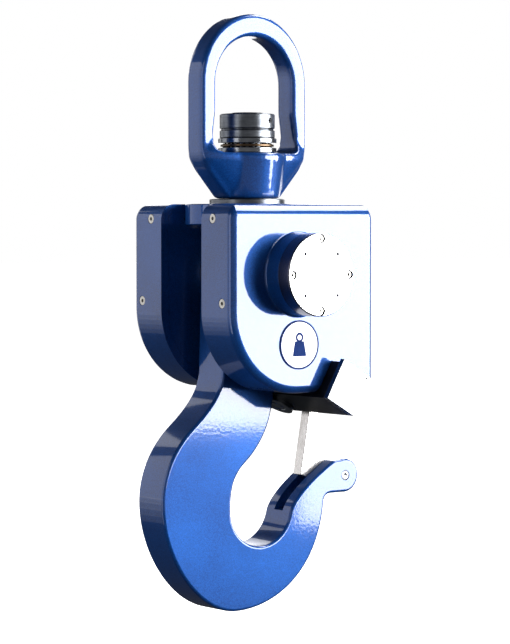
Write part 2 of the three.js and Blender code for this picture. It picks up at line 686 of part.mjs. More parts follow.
const SPRING_POCKET_RADIUS = 11;
const SPRING_POCKET_DEPTH = 6;
const latchHalf = LATCH_THICKNESS / 2;
function latch() {
  let body = plate(latchShape(), -latchHalf, latchHalf, LATCH_EDGE, 1, 14);
  body = body.subtract(turnedAtTip(rod(LATCH_PIN_RADIUS + RUN, -latchHalf - 1, latchHalf + 1, "y", 20)));
  const pocket = rod(SPRING_POCKET_RADIUS, latchHalf - SPRING_POCKET_DEPTH, latchHalf + 1, "y", 24);
  return body.subtract(turnedAtTip(pocket));
}

function turnedAtTip(body) {
  return body.translate([TIP_X, 0, -TIP_DROP]);
}

function latchPin() {
  const r = LATCH_PIN_RADIUS;
  const end = hookHalf - 0.4;
  const dimple = 2.6;
  const profile = [[0, -end], [r - 0.8, -end], [r, -end + 0.8], [r, end - 0.8], [r - 0.8, end]];
  return turnedAtTip(turned([...profile, [dimple, end], [0, end - 1.2]], "y", 20));
}

// The latch's torsion spring, a coil in the pocket round the pin.
class Coil extends THREE.Curve {
  constructor(radius, rise, turns) {
    super();
    Object.assign(this, { radius, rise, turns });
  }
  getPoint(t, target = new THREE.Vector3()) {
    const angle = t * this.turns * 2 * Math.PI;
    return target.set(this.radius * Math.cos(angle), this.rise * t, this.radius * Math.sin(angle));
  }
}

function latchSpring() {
  const wire = 0.7;
  const turns = 2;
  const coil = new Coil(SPRING_POCKET_RADIUS - 2.4, SPRING_POCKET_DEPTH - 2 * wire - 1, turns);
  const section = new THREE.Shape();
  section.absarc(0, 0, wire, 0, 2 * Math.PI, false);
  const steps = 10 * turns;
  const geometry = new THREE.ExtrudeGeometry(section, { steps, extrudePath: coil, curveSegments: 3 });
  const start = latchHalf - SPRING_POCKET_DEPTH + wire + 0.5;
  return turnedAtTip(solid(geometry.translate(0, start, 0)));
}

// ---- drive ----
// A spur gear's outline, with straight-sided teeth; phase is the angle of one tooth's middle.
function gearShape(teeth, phase, bore) {
  const pitch = (2 * Math.PI) / teeth;
  const root = GEAR_MODULE * (teeth / 2 - 1.25);
  const tip = GEAR_MODULE * (teeth / 2 + 0.9);
  const points = [];
  for (let i = 0; i < teeth; i++) {
    const middle = phase + i * pitch;
    const corners = [[root, -0.31], [tip, -0.1], [tip, 0.1], [root, 0.31]];
    for (const [r, share] of corners) {
      const angle = middle + share * pitch;
      points.push([r * Math.cos(angle), r * Math.sin(angle)]);
    }
  }
  const shape = outline(points);
  if (bore > 0) shape.holes.push(new THREE.Path().absarc(0, 0, bore, 0, 2 * Math.PI, true));
  return shape;
}

// The gear is bolted to the hook's near face and turns with it.
function hookGear() {
  let body = plate(gearShape(gearTeeth, 0, bushRadius + 1), -gearOut, -gearIn, 0, 0, 12);
  body = gearScrewHoles(body, GEAR_SCREW_RADIUS + FIT, -gearOut - 1, 0);
  return gearScrewHoles(body, GEAR_SCREW_HEAD + FIT, -gearOut - 1, gearScrewSeat);
}

function pinion() {
  const phase = Math.PI + Math.PI / PINION_TEETH;
  const teeth = plate(gearShape(PINION_TEETH, phase, 0), -gearOut, -gearIn);
  const shaft = rod(PINION_SHAFT_RADIUS, -cheekOut - 8, -gearIn, "y", 16);
  return teeth.add(shaft).translate([pinionX, 0, 0]);
}

function gearbox() {
  const near = -(cheekOut + FIT);
  const body = rod(GEARBOX_RADIUS, near - GEARBOX_LENGTH, near, "y", 32);
  const socket = rod(PINION_SHAFT_RADIUS + RUN, near - 10, near + 1, "y", 16);
  return body.subtract(socket).translate([pinionX, 0, 0]);
}

function motor() {
  const near = -(cheekOut + 2 * FIT + GEARBOX_LENGTH);
  const far = -(shellOut - SHELL_FACE - 1);
  return rod(MOTOR_RADIUS, far, near, "y", 32).translate([pinionX, 0, 0]);
}

// ---- magnet block ----
// A place on the block's lower face, along its width, with the face's outward direction.
function onBlock(body) {
  const along = BLOCK_WIDTH / 2 + 1;
  const x = BLOCK_LEFT + Math.cos(BLOCK_TILT) * along;
  const z = -(housingLow + BLOCK_BELOW) - Math.sin(BLOCK_TILT) * along;
  const degrees = THREE.MathUtils.radToDeg(BLOCK_TILT);
  return body.rotate([0, degrees, 0]).translate([x, 0, z]);
}

const MAGNET_SINK = 12;
function magnetBlock() {
  const end = shellOut + BLOCK_PROUD;
  const body = plate(outline(blockCorners(0, 0, 0, 0)), -end, end);
  return body.subtract(onBlock(rod(MAGNET_RADIUS + FIT, -1, MAGNET_SINK + FIT, "z", 28)));
}

function endPlate() {
  const start = shellOut + BLOCK_PROUD + FIT;
  return plate(outline(blockCorners(0, 0, 0, END_PLATE_RISE)), start, start + END_PLATE, 0.8, 1);
}

function magnet() {
  const r = MAGNET_RADIUS;
  const low = -MAGNET_PROUD;
  return onBlock(turned([[0, low], [r - 1, low], [r, low + 1], [r, MAGNET_SINK], [0, MAGNET_SINK]], "z", 28));
}

// ---- spine with its button and charging socket ----
const BUTTON_RADIUS = 8;
const BUTTON_Z = 24;
const BUTTON_STROKE = 2;
const SOCKET_RADIUS = 11;
const SOCKET_Z = -20;

function spine() {
  const half = slotHalf + SPINE_GROOVE - FIT;
  const inner = spineOut - SPINE_THICKNESS;
  const gap = BLOCK_CLEARANCE + SHELL_WALL + FIT;
  const [, , [rightX, rightZ]] = blockCorners(gap, 0, gap, gap);
  const low = rightZ + Math.max(0, rightX - inner) * Math.tan(BLOCK_TILT) + FIT;
  let body = block(inner, spineOut, -half, half, low, housingTop - TOP_CORNER);
  const clear = rod(BUTTON_RADIUS + RUN, inner - 1, spineOut + 1, "x", 24).translate([0, 0, BUTTON_Z]);
  const socketHole = rod(SOCKET_RADIUS + FIT, inner - 1, spineOut + 1, "x", 24).translate([0, 0, SOCKET_Z]);
  return body.subtract(clear).subtract(socketHole);
}

function powerButton() {
  const inner = spineOut - SPINE_THICKNESS;
  const r = BUTTON_RADIUS;
  const out = spineOut + BUTTON_STROKE + 0.8;
  const profile = [[0, inner - 1], [r, inner - 1], [r, out - 1], [r - 1, out], [0, out]];
  return turned(profile, "x", 24).translate([0, 0, BUTTON_Z]);
}

function chargeSocket() {
  const inner = spineOut - SPINE_THICKNESS - 6;
  const r = SOCKET_RADIUS;
  const flange = r + 3;
  const face = spineOut + FIT;
  const profile = [[0, inner], [r, inner], [r, face], [flange, face], [flange, face + 2], [5, face + 2]];
  return turned([...profile, [5, face - 8], [0, face - 8]], "x", 24).translate([0, 0, SOCKET_Z]);
}

// ---- electronics ----
const BATTERY = { x0: -50, x1: 22, z0: -104, z1: -38 };
const BOARD_SIZE = { x0: 36, x1: 84, z0: -52, z1: 50 };

function battery() {
  const y0 = cheekOut + FIT;
  const y1 = shellOut - SHELL_FACE - 2;
  const shape = outline([
    [BATTERY.x0, BATTERY.z0], [BATTERY.x1, BATTERY.z0], [BATTERY.x1, BATTERY.z1], [BATTERY.x0, BATTERY.z1],
  ]);
  return plate(shape, y0, y1, 3, 1);
}

// The control board, with its radio module, processor can and relay standing on it.
function controlBoard() {
  const y0 = cheekOut + 8;
  const thick = 1.8;
  const { x0, x1, z0, z1 } = BOARD_SIZE;
  let body = block(x0, x1, y0, y0 + thick, z0, z1);
  const parts = [
    [x0 + 5, x0 + 23, z1 - 32, z1 - 8, 4],
    [x0 + 26, x0 + 42, z0 + 40, z0 + 56, 3],
    [x0 + 8, x0 + 36, z0 + 8, z0 + 26, 15],
  ];
  for (const [a, b, c, d, high] of parts) body = body.add(block(a, b, y0, y0 + thick + high, c, d));
  for (const x of [x0 + 5, x1 - 5]) {
    for (const z of [z0 + 4, z1 - 4]) {
      body = body.add(rod(2.5, cheekOut + FIT, y0 + 1, "y", 8).translate([x, 0, z]));
    }
  }
  return body;
}

// ---- round badge on the near shell ----
const BADGE_RADIUS = 28;
const BADGE_THICKNESS = 1;
const BADGE_X = 1;
const BADGE_DROP = 80;
function badge() {
  const y0 = shellOut + FIT;
  return rod(BADGE_RADIUS, -y0 - BADGE_THICKNESS, -y0, "y", 36).translate([BADGE_X, 0, -BADGE_DROP]);
}

// ---- assembly ----
add("swivel_eye", eye(), BLUE);
const bushLow = eyeLow + FIT;
add("eye_bush", ring(SHANK_RADIUS + RUN, eyeBore, bushLow, floorZ - FIT, "z", 32), BRONZE);
add("bearing_lower_race", race(lowerRaceZ), STEEL);

add("bearing_cage", cage(), BRONZE);
add("bearing_upper_race", race(upperRaceZ), STEEL);
add("swivel_nut", nut(), DARK_STEEL);
add("nut_lock_screw", placeLock(lockScrew()), BLACK_STEEL);
add("swivel_shank", shank(), DARK_STEEL);
add("swivel_collar", collar(), DARK_STEEL);
add("crosshead", crosshead(), BLUE);
for (const [name, side] of SIDES) {
  add("cheek_plate_" + name, onSide(cheek(side), side), BLUE);
  add("housing_shell_" + name, onSide(housingShell(), side), BLUE);
  add("axle_cap_" + name, onSide(axleCap(), side), STEEL);
  add("block_end_plate_" + name, onSide(endPlate(), side), STEEL);
  capScrewPlaces().forEach(([x, z], i) => {
    add("cap_screw_" + name + "_" + (i + 1), onSide(capScrew(), side).translate([x, 0, z]), STEEL);
  });
  let count = 0;
  forEachSideScrew((flank, inward, place) => {
    count += 1;
    const screw = onSide(placed(sideScrew(), flank, inward, place), side);
    add("side_screw_" + name + "_" + count, screw, STEEL);
  });
  [-CROSSHEAD_BOLT_X, CROSSHEAD_BOLT_X].forEach((x, i) => {
    const bolt = onSide(crossheadBolt(), side).translate([x, 0, crossheadBoltZ]);
    add("crosshead_bolt_" + name + "_" + (i + 1), bolt, BLACK_STEEL);
  });
}
add("load_axle", rod(AXLE_RADIUS, -bossOut + FIT, bossOut - FIT, "y", 36), STEEL);
add("magnet_block", magnetBlock(), BLACK_STEEL);
add("magnet", magnet(), DARK_STEEL);
add("gearbox", gearbox(), DARK_STEEL);
add("motor", motor(), BLACK_STEEL);
add("battery_pack", battery(), PLASTIC);
add("control_board", controlBoard(), BOARD);
add("spine_plate", spine(), BLUE);
add("charge_socket", chargeSocket(), PLASTIC);
add("badge_plate", badge(), LABEL);

add("hook", hook(), BLUE);
add("hub_bush", ring(AXLE_RADIUS + RUN, bushRadius, -hookHalf, hookHalf, "y", 36), BRONZE);
add("hook_gear", hookGear(), DARK_STEEL);
gearScrewPlaces().forEach(([x, z], i) => {
  add("gear_screw_" + (i + 1), gearScrew().translate([x, 0, z]), BLACK_STEEL);
});
const spacerOut = slotHalf - FIT;
const spacerRadius = bushRadius + SPACER_LIP;
add("hub_spacer", ring(AXLE_RADIUS + FIT, spacerRadius, hookHalf + FIT, spacerOut, "y", 32), STEEL);
add("latch_pin", latchPin(), STEEL);
add("latch", latch(), STEEL);
add("latch_spring", latchSpring(), STEEL);
add("drive_pinion", pinion(), STEEL);
add("power_button", powerButton(), PLASTIC);

export default assembly;
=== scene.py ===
"""Looks of a motor-turned crane hook scale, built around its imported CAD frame.

The file follows the object from the top down: swivel eye, nut and thrust bearing, crosshead, housing shells
with their screws, caps and badge, magnet block, drive and electronics, hook, latch, and then the studio.
Section sizes are in millimetres, measured from the load axle's centre; meshes are in metres.
"""

import math

import bmesh
import bpy
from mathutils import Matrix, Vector


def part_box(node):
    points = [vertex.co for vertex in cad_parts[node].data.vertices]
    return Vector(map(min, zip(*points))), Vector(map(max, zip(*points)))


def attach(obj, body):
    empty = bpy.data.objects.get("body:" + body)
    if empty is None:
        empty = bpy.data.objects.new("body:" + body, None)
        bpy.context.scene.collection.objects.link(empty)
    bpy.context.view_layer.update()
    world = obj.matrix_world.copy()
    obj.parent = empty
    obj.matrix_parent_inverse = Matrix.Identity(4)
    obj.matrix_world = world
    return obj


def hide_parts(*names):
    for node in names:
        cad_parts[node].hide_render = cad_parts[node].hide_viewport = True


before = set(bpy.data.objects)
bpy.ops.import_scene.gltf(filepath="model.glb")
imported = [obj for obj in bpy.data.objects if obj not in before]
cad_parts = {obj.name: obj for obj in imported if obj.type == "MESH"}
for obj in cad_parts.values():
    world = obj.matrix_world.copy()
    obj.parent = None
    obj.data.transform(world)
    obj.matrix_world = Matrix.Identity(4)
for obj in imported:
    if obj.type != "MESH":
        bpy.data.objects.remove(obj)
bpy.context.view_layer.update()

# ---- swivel eye ----
# The eye is one steel forging: a flat-faced ring with rounded edges that swells into a round boss, where the
# shank passes. It is shot-blasted and sprayed with the same metallic blue enamel as the housing.
MM = 0.001
axle_low, axle_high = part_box("load_axle")
AXLE_Z = (axle_low.z + axle_high.z) / 2

EYE_LOW = 86.4
EYE_FLOOR = 139.4
EYE_ARC = 218.4
EYE_TOP = 299.4
EYE_HALF_WIDTH = 76.0
EYE_HALF_THICK = 15.5
EYE_BASE = 37.5
EYE_ROUND = 3.5
WINDOW_HALF_WIDTH = 55.0
WINDOW_FOOT = 60.0
WINDOW_ROUND = 5.0
BOSS_HALF_DEPTH = 45.0
WING_HALF_DEPTH = 34.0
WING_FLARE = 8.0
CONE_ROUND = 5.0
BOSS_TOP_RISE = 95.0
LEG_FOOT = EYE_LOW + 62.0
TAPER_BEND = EYE_LOW + 42.0
TAPER_END = EYE_LOW + 28.0
TAPER_HALF_WIDTH = 0.82 * EYE_HALF_WIDTH
WINDOW_KNEE = EYE_FLOOR + 46.0
WINDOW_CORNER = 12.0
EYE_VOXEL = 1.5
EYE_BORE = 24.6

ENAMEL_DEEP = "#0A2A5C"
ENAMEL_BRIGHT = "#124A93"


def linear(hex_code):
    """The linear RGBA colour of an sRGB hex code."""
    channels = [int(hex_code[i : i + 2], 16) / 255 for i in (1, 3, 5)]
    return tuple(c / 12.92 if c <= 0.04045 else ((c + 0.055) / 1.055) ** 2.4 for c in channels) + (1.0,)


def add_node(tree, kind, values=None, links=None, **properties):
    """One node with its properties, its sockets' constants and its incoming links."""
    node = tree.nodes.new(kind)
    for name, value in properties.items():
        setattr(node, name, value)
    for name, value in (values or {}).items():
        node.inputs[name].default_value = value
    for name, source in (links or {}).items():
        tree.links.new(source, node.inputs[name])
    return node


def new_finish(name):
    """An empty material with its node tree and Object coordinates."""
    material = bpy.data.materials.new(name)
    material.use_nodes = True
    tree = material.node_tree
    tree.nodes.clear()
    coords = add_node(tree, "ShaderNodeTexCoord").outputs["Object"]
    return material, tree, coords


def lay_on(tree, surface, links):
    """The Principled surface of a finish."""
    shader = add_node(tree, "ShaderNodeBsdfPrincipled", surface, links)
    add_node(tree, "ShaderNodeOutputMaterial", links={"Surface": shader.outputs["BSDF"]})


def metallic_enamel():
    """Two-coat metallic enamel: fine aluminium flake in blue under a clear coat with a slight orange peel."""
    flake_size = 0.0007
    peel_size = 0.0035
    material, tree, coords = new_finish("metallic_blue_enamel")
    flake = add_node(tree, "ShaderNodeTexVoronoi", {"Scale": 1 / flake_size}, {"Vector": coords})
    grey = add_node(tree, "ShaderNodeSeparateColor", links={"Color": flake.outputs["Color"]})
    cloud = add_node(tree, "ShaderNodeTexNoise", {"Scale": 9.0, "Detail": 3.0}, {"Vector": coords})
    blend = add_node(
        tree,
        "ShaderNodeMath",
        {1: 0.55},
        {0: grey.outputs["Red"], 2: cloud.outputs["Fac"]},
        operation="MULTIPLY_ADD",
    )
    tone = add_node(
        tree, "ShaderNodeMapRange", {"From Min": 0.35, "From Max": 1.15}, {"Value": blend.outputs[0]}
    )
    colour = add_node(
        tree,
        "ShaderNodeMix",
        {6: linear(ENAMEL_DEEP), 7: linear(ENAMEL_BRIGHT)},
        {0: tone.outputs["Result"]},
        data_type="RGBA",
    )
    rough = add_node(
        tree, "ShaderNodeMapRange", {"To Min": 0.3, "To Max": 0.42}, {"Value": grey.outputs["Green"]}
    )
    peel = add_node(
        tree, "ShaderNodeTexNoise", {"Scale": 1 / peel_size, "Detail": 1.0}, {"Vector": coords}
    )
    wave = add_node(
        tree, "ShaderNodeBump", {"Strength": 0.05, "Distance": 0.0003}, {"Height": peel.outputs["Fac"]}
    )
    lay_on(
        tree,
        {
            "Metallic": 0.35,
            "Specular IOR Level": 0.1,
            "Coat Weight": 1.0,
            "Coat Roughness": 0.05,
            "IOR": 1.5,
        },
        {
            "Base Color": colour.outputs[2],
            "Roughness": rough.outputs["Result"],
            "Normal": wave.outputs["Normal"],
            "Coat Normal": wave.outputs["Normal"],
        },
    )
    return material


blue_enamel = metallic_enamel()


def arc(x, z, radius, start, end, count):
    """Points on a circle from start to end, in radians, without the last."""
    turns = [start + (end - start) * i / count for i in range(count)]
    return [(x + radius * math.cos(t), z + radius * math.sin(t)) for t in turns]


def bend(points, count):
    """Points on the Bezier curve of three or four control points, without the last."""
    found = []
    for i in range(count):
        level = [Vector(p) for p in points]
        while len(level) > 1:
            level = [a.lerp(b, i / count) for a, b in zip(level, level[1:])]
        found.append(tuple(level[0]))
    return found


def inwards(loop, distance):
    """A counter-clockwise loop moved inwards by distance."""
    moved = []
    for i, here in enumerate(loop):
        before, after = Vector(loop[i - 1]), Vector(loop[(i + 1) % len(loop)])
        here = Vector(here)
        a, b = (here - before).normalized(), (after - here).normalized()
        normal = Vector((-a.y - b.y, a.x + b.x))
        moved.append(tuple(here + normal * (2 * distance / normal.length_squared)))
    return moved


def rings(body, loop, y0, y1, near, far, steps, grow):
    """Rings of vertices up a plate's wall and over its rounded edges, with faces. Gives the two end rings."""
    levels = []
    quarter = math.pi / 2
    for k in range(steps + 1 if near else 1):
        turn = quarter * k / steps
        levels.append((y0 + near * (1 - math.cos(turn)), near * (1 - math.sin(turn))))
    for k in range(steps + 1 if far else 1):
        turn = quarter * (1 - k / steps)
        levels.append((y1 - far * (1 - math.cos(turn)), far * (1 - math.sin(turn))))
    made = []
    for y, inset in levels:
        made.append([body.verts.new(place(x, y, z)) for x, z in inwards(loop, inset * grow)])
    for low, high in zip(made, made[1:]):
        for i in range(len(loop)):
            body.faces.new((low[i - 1], low[i], high[i], high[i - 1]))
    return made[0], made[-1]


def place(x, y, z):
    """A point given in millimetres from the axle's centre, in the row frame."""
    return Vector((x * MM, y * MM, AXLE_Z + z * MM))


def plate(outline, y0, y1, near=0.0, far=0.0, steps=5, hole=None, hole_round=0.0):
    """A closed plate across Y with its edges rounded, and with one hole of its own rounding."""
    body = bmesh.new()
    ends = [[e] for e in rings(body, outline, y0, y1, near, far, steps, 1)]
    if hole:
        for end, more in zip(ends, rings(body, hole, y0, y1, hole_round, hole_round, steps, -1)):
            end.append(more)
    for end in ends:
        if hole:
            edges = [body.edges.get((loop[i - 1], loop[i])) for loop in end for i in range(len(loop))]
            bmesh.ops.triangle_fill(body, edges=edges, use_beauty=True)
        else:
            body.faces.new(end[0])
    bmesh.ops.recalc_face_normals(body, faces=body.faces)
    return body


def piece(name, body):
    """A mesh object made from a bmesh."""
    mesh = bpy.data.meshes.new(name)
    body.to_mesh(mesh)
    body.free()
    made = bpy.data.objects.new(name, mesh)
    bpy.context.scene.collection.objects.link(made)
    return made


def settle(made):
    """Makes what the modifiers show the piece's own mesh."""
    shown = made.evaluated_get(bpy.context.evaluated_depsgraph_get())
    mesh = bpy.data.meshes.new_from_object(shown)
    old = made.data
    made.modifiers.clear()
    made.data = mesh
    mesh.name = made.name
    bpy.data.meshes.remove(old)
    return made


def carve(made, tool, operation="DIFFERENCE"):
    """A Boolean of two closed pieces. The tool is used up."""
    step = made.modifiers.new("carve", "BOOLEAN")
    step.solver = "EXACT"
    step.operation = operation
    step.object = tool
    settle(made)
    bpy.data.objects.remove(tool)
    return made


def dress(made, body, finish, replaced, crease=32):
    """Shading that keeps flat faces flat, then the finish and what the frame has to know."""
    mesh = made.data
    mesh.materials.clear()
    mesh.materials.append(finish)
    mesh.polygons.foreach_set("use_smooth", [True] * len(mesh.polygons))
    if crease:
        mesh.set_sharp_from_angle(angle=math.radians(crease))
        weigh = made.modifiers.new("weigh", "WEIGHTED_NORMAL")
        weigh.keep_sharp = True
        settle(made)
    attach(made, body)
    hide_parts(*replaced)
    return made


crown_turns = [math.pi * i / 72 for i in range(72)]
crown_rise = EYE_TOP - EYE_ARC
eye_outline = [(EYE_HALF_WIDTH * math.cos(t), EYE_ARC + crown_rise * math.sin(t)) for t in crown_turns]
eye_outline += [(-EYE_HALF_WIDTH, EYE_ARC)]
left_taper = [(-EYE_HALF_WIDTH, LEG_FOOT), (-EYE_HALF_WIDTH, TAPER_BEND), (-TAPER_HALF_WIDTH, TAPER_END)]
eye_outline += bend(left_taper, 10) + [left_taper[-1], (-EYE_BASE, EYE_LOW), (EYE_BASE, EYE_LOW)]
eye_outline += bend([(-x, z) for x, z in left_taper[::-1]], 10) + [(EYE_HALF_WIDTH, LEG_FOOT)]

corner_x, corner_z = WINDOW_FOOT - WINDOW_CORNER, EYE_FLOOR + WINDOW_CORNER
window = [(-WINDOW_HALF_WIDTH, WINDOW_KNEE)]
window += bend([(-WINDOW_FOOT, corner_z), (-WINDOW_FOOT - 1, EYE_FLOOR), (-corner_x, EYE_FLOOR)], 8)
window += [(-corner_x, EYE_FLOOR)]
window += bend([(corner_x, EYE_FLOOR), (WINDOW_FOOT + 1, EYE_FLOOR), (WINDOW_FOOT, corner_z)], 8)
window += [(WINDOW_FOOT, corner_z), (WINDOW_HALF_WIDTH, WINDOW_KNEE)]
window += arc(0, EYE_ARC, WINDOW_HALF_WIDTH, 0, math.pi, 60) + [(-WINDOW_HALF_WIDTH, EYE_ARC)]


def boss_wings():
    """The wings are lofted from ellipses that widen to the legs' width and then thin into the legs."""
    rows, around = 30, 72
    rise_end = EYE_FLOOR - EYE_LOW
    body = bmesh.new()
    loops = []
    for k in range(rows + 1):
        height = BOSS_TOP_RISE * k / rows
        rise = min(1, height / (rise_end - 8))
        wide = EYE_BASE + (EYE_HALF_WIDTH + 6 - EYE_BASE) * rise
        past = max(0, (height - rise_end) / (BOSS_TOP_RISE - rise_end))
        flare = WING_HALF_DEPTH - WING_FLARE * (1 - rise)
        deep = flare + (EYE_HALF_THICK - 1 - flare) * math.sin(past * math.pi / 2)
        turns = [2 * math.pi * i / around for i in range(around)]
        spots = [place(wide * math.cos(t), deep * math.sin(t), EYE_LOW + height) for t in turns]
        loops.append([body.verts.new(spot) for spot in spots])
    for low, high in zip(loops, loops[1:]):
        for i in range(around):
            body.faces.new((low[i - 1], low[i], high[i], high[i - 1]))
    body.faces.new(loops[0])
    body.faces.new(loops[-1])
    bmesh.ops.recalc_face_normals(body, faces=body.faces)
    return body


def turned(profile, axis="z", centre=(0.0, 0.0), sides=96):
    """A lathe-turned solid from [radius, place] points. Centre is in the other two directions."""
    body = bmesh.new()
    p, q = centre
    loops = []
    for radius, along in profile:
        spots = []
        for i in range(sides if radius > 0 else 1):
            turn = 2 * math.pi * i / sides
            u, v = p + radius * math.cos(turn), q + radius * math.sin(turn)
            spots.append({"x": (along, u, v), "y": (u, along, v), "z": (u, v, along)}[axis])
        loops.append([body.verts.new(place(*s)) for s in spots])
    closed = profile[0][0] > 0
    pairs = zip(loops, loops[1:] + loops[:1]) if closed else zip(loops, loops[1:])
    for low, high in pairs:
        for i in range(sides):
            if len(low) == 1:
                corners = [low[0], high[i], high[i - 1]]
            elif len(high) == 1:
                corners = [low[i - 1], low[i], high[0]]
            else:
                corners = [low[i - 1], low[i], high[i], high[i - 1]]
            body.faces.new(corners)
    bmesh.ops.recalc_face_normals(body, faces=body.faces)
    return body


def rod(radius, start, end, axis="z", centre=(0.0, 0.0), sides=96):
    """A plain round bar, mostly used to bore a hole."""
    return turned([(0, start), (radius, start), (radius, end), (0, end)], axis, centre, sides)


forging = piece("boss_wings", boss_wings())
carve(forging, piece("silhouette", plate(eye_outline, -60, 60)), "INTERSECT")
carve(forging, piece("window", plate(window, -70, 70)))
ring = plate(eye_outline, -EYE_HALF_THICK, EYE_HALF_THICK, EYE_ROUND, EYE_ROUND, 6, window, WINDOW_ROUND)
ring.from_mesh(forging.data)
bpy.data.objects.remove(forging)
cone_profile = [(0, EYE_LOW), (EYE_BASE, EYE_LOW)]
cone_profile += bend(
    [
        (BOSS_HALF_DEPTH - 0.8, EYE_FLOOR - 6),
        (BOSS_HALF_DEPTH, EYE_FLOOR),
        (BOSS_HALF_DEPTH - CONE_ROUND, EYE_FLOOR),
    ],
    6,
)
cone = piece(
    "boss_cone", turned(cone_profile + [(BOSS_HALF_DEPTH - CONE_ROUND, EYE_FLOOR), (0, EYE_FLOOR)])
)
ring.from_mesh(cone.data)
bpy.data.objects.remove(cone)
eye = piece("forged_swivel_eye", ring)
skin = eye.modifiers.new("skin", "REMESH")
skin.mode = "VOXEL"
skin.voxel_size = EYE_VOXEL * MM
skin.use_smooth_shade = True
relax = eye.modifiers.new("relax", "SMOOTH")
relax.factor = 0.5
relax.iterations = 26
settle(eye)
carve(eye, piece("bore", rod(EYE_BORE, EYE_LOW - 5, EYE_FLOOR + 5)))
dress(eye, "eye", blue_enamel, ["swivel_eye"], crease=50)

# ---- swivel nut, shank and thrust bearing ----
# The shank hangs in the eye on a ball thrust bearing under a ring nut. Nut, shank and collar are turned from
# alloy steel and phosphated; the races are ground bearing steel, and the cage is pressed bronze.
NUT_LOW = 156.4
NUT_HEIGHT = 28.0
NUT_RADIUS = 32.0
NUT_STEP = 10.0
SHANK_RADIUS = 20.0
SHANK_HEAD_RADIUS = 30.0
SHANK_FOOT = 52.0
SHANK_SHOULDER = 64.0
SHANK_TOP = 185.9
RACE_RADIUS = 34.0
RACE_HEIGHT = 5.4
LOWER_RACE = 139.7
CAGE_LOW = 145.4
CAGE_HEIGHT = 5.0
UPPER_RACE = 150.7
BALL_COUNT = 24
COLLAR_LOW = 80.3
COLLAR_HEIGHT = 5.8
COLLAR_RADIUS = 44.0
LOCK_TURN = math.radians(-72)
LOCK_Z = 176.4
LOCK_RADIUS = 3.0
FIT = 0.3

PHOSPHATE_DARK = "#45484D"
PHOSPHATE_LIGHT = "#777B81"
GROUND_STEEL = "#8B8E93"
GROUND_SHADE = "#5E6166"
BRONZE_WARM = "#56493A"
BRONZE_DULL = "#46372A"


def turned_metal(name, dark, light, rough_low, rough_high, line_size, stretch=(1.0, 1.0, 1.0), bump=0.08):
    """A machined metal: fine tool lines that follow stretch, over a slow mottling of its tone."""
    material, tree, coords = new_finish(name)
    mapping = add_node(tree, "ShaderNodeMapping", {"Scale": stretch}, {"Vector": coords})
    lines = add_node(
        tree,
        "ShaderNodeTexNoise",
        {"Scale": 1 / line_size, "Detail": 4.0},
        {"Vector": mapping.outputs["Vector"]},
    )
    mottle = add_node(tree, "ShaderNodeTexNoise", {"Scale": 60.0, "Detail": 5.0}, {"Vector": coords})
    both = add_node(
        tree,
        "ShaderNodeMath",
        {1: 0.6},
        {0: lines.outputs["Fac"], 2: mottle.outputs["Fac"]},
        operation="MULTIPLY_ADD",
    )
    tone = add_node(
        tree, "ShaderNodeMapRange", {"From Min": 0.5, "From Max": 1.1}, {"Value": both.outputs[0]}
    )
    colour = add_node(
        tree,
        "ShaderNodeMix",
        {6: linear(dark), 7: linear(light)},
        {0: tone.outputs["Result"]},
        data_type="RGBA",
    )
    rough = add_node(
        tree,
        "ShaderNodeMapRange",
        {"To Min": rough_low, "To Max": rough_high},
        {"Value": mottle.outputs["Fac"]},
    )
    relief = add_node(
        tree, "ShaderNodeBump", {"Strength": bump, "Distance": 0.0002}, {"Height": lines.outputs["Fac"]}
    )
    links = {
        "Base Color": colour.outputs[2],
        "Roughness": rough.outputs["Result"],
        "Normal": relief.outputs["Normal"],
    }
    lay_on(tree, {"Metallic": 1.0}, links)
    return material


# Phosphated steel is a soft dark grey; its turning lines run round the shank's vertical axis.
phosphated_steel = turned_metal(
    "phosphated_steel", PHOSPHATE_DARK, PHOSPHATE_LIGHT, 0.26, 0.36, 0.0012, (0.1, 0.1, 1.0)
)
# Ground bearing steel is bright with a faint lay, finer than it can show, so its lines are drawn 1 mm apart.
ground_steel = turned_metal(
    "ground_bearing_steel", GROUND_SHADE, GROUND_STEEL, 0.14, 0.24, 0.001, (0.1, 0.1, 1.0), 0.04
)
bearing_bronze = turned_metal(
    "bearing_bronze", BRONZE_DULL, BRONZE_WARM, 0.28, 0.42, 0.0015, (1.0, 1.0, 0.3)
)


def soften(profile, radius=0.5, steps=3):
    """A turned profile with its corners rounded, except those on the axis."""
    closed = profile[0][0] > 0
    count = len(profile)
    found = []
    for i, corner in enumerate(profile):
        if not closed and i in (0, count - 1):
            found.append(corner)
            continue
        here, before, after = Vector(corner), Vector(profile[i - 1]), Vector(profile[(i + 1) % count])
        start = here + (before - here).normalized() * min(radius, 0.45 * (before - here).length)
        end = here + (after - here).normalized() * min(radius, 0.45 * (after - here).length)
        found += bend([start, here, end], steps) + [tuple(end)]
    return found


def race_profile(low):
    """A race's section: a plain rectangle with rounded corners."""
    inner, outer, high = SHANK_RADIUS + 1, RACE_RADIUS, low + RACE_HEIGHT
    return soften([(inner, low), (outer, low), (outer, high), (inner, high)], 0.8)


dress(
    piece("race_lower", turned(race_profile(LOWER_RACE))),
    "eye",
    ground_steel,
    ["bearing_lower_race"],
)
dress(
    piece("race_upper", turned(race_profile(UPPER_RACE))),
    "housing",
    ground_steel,
    ["bearing_upper_race"],
)


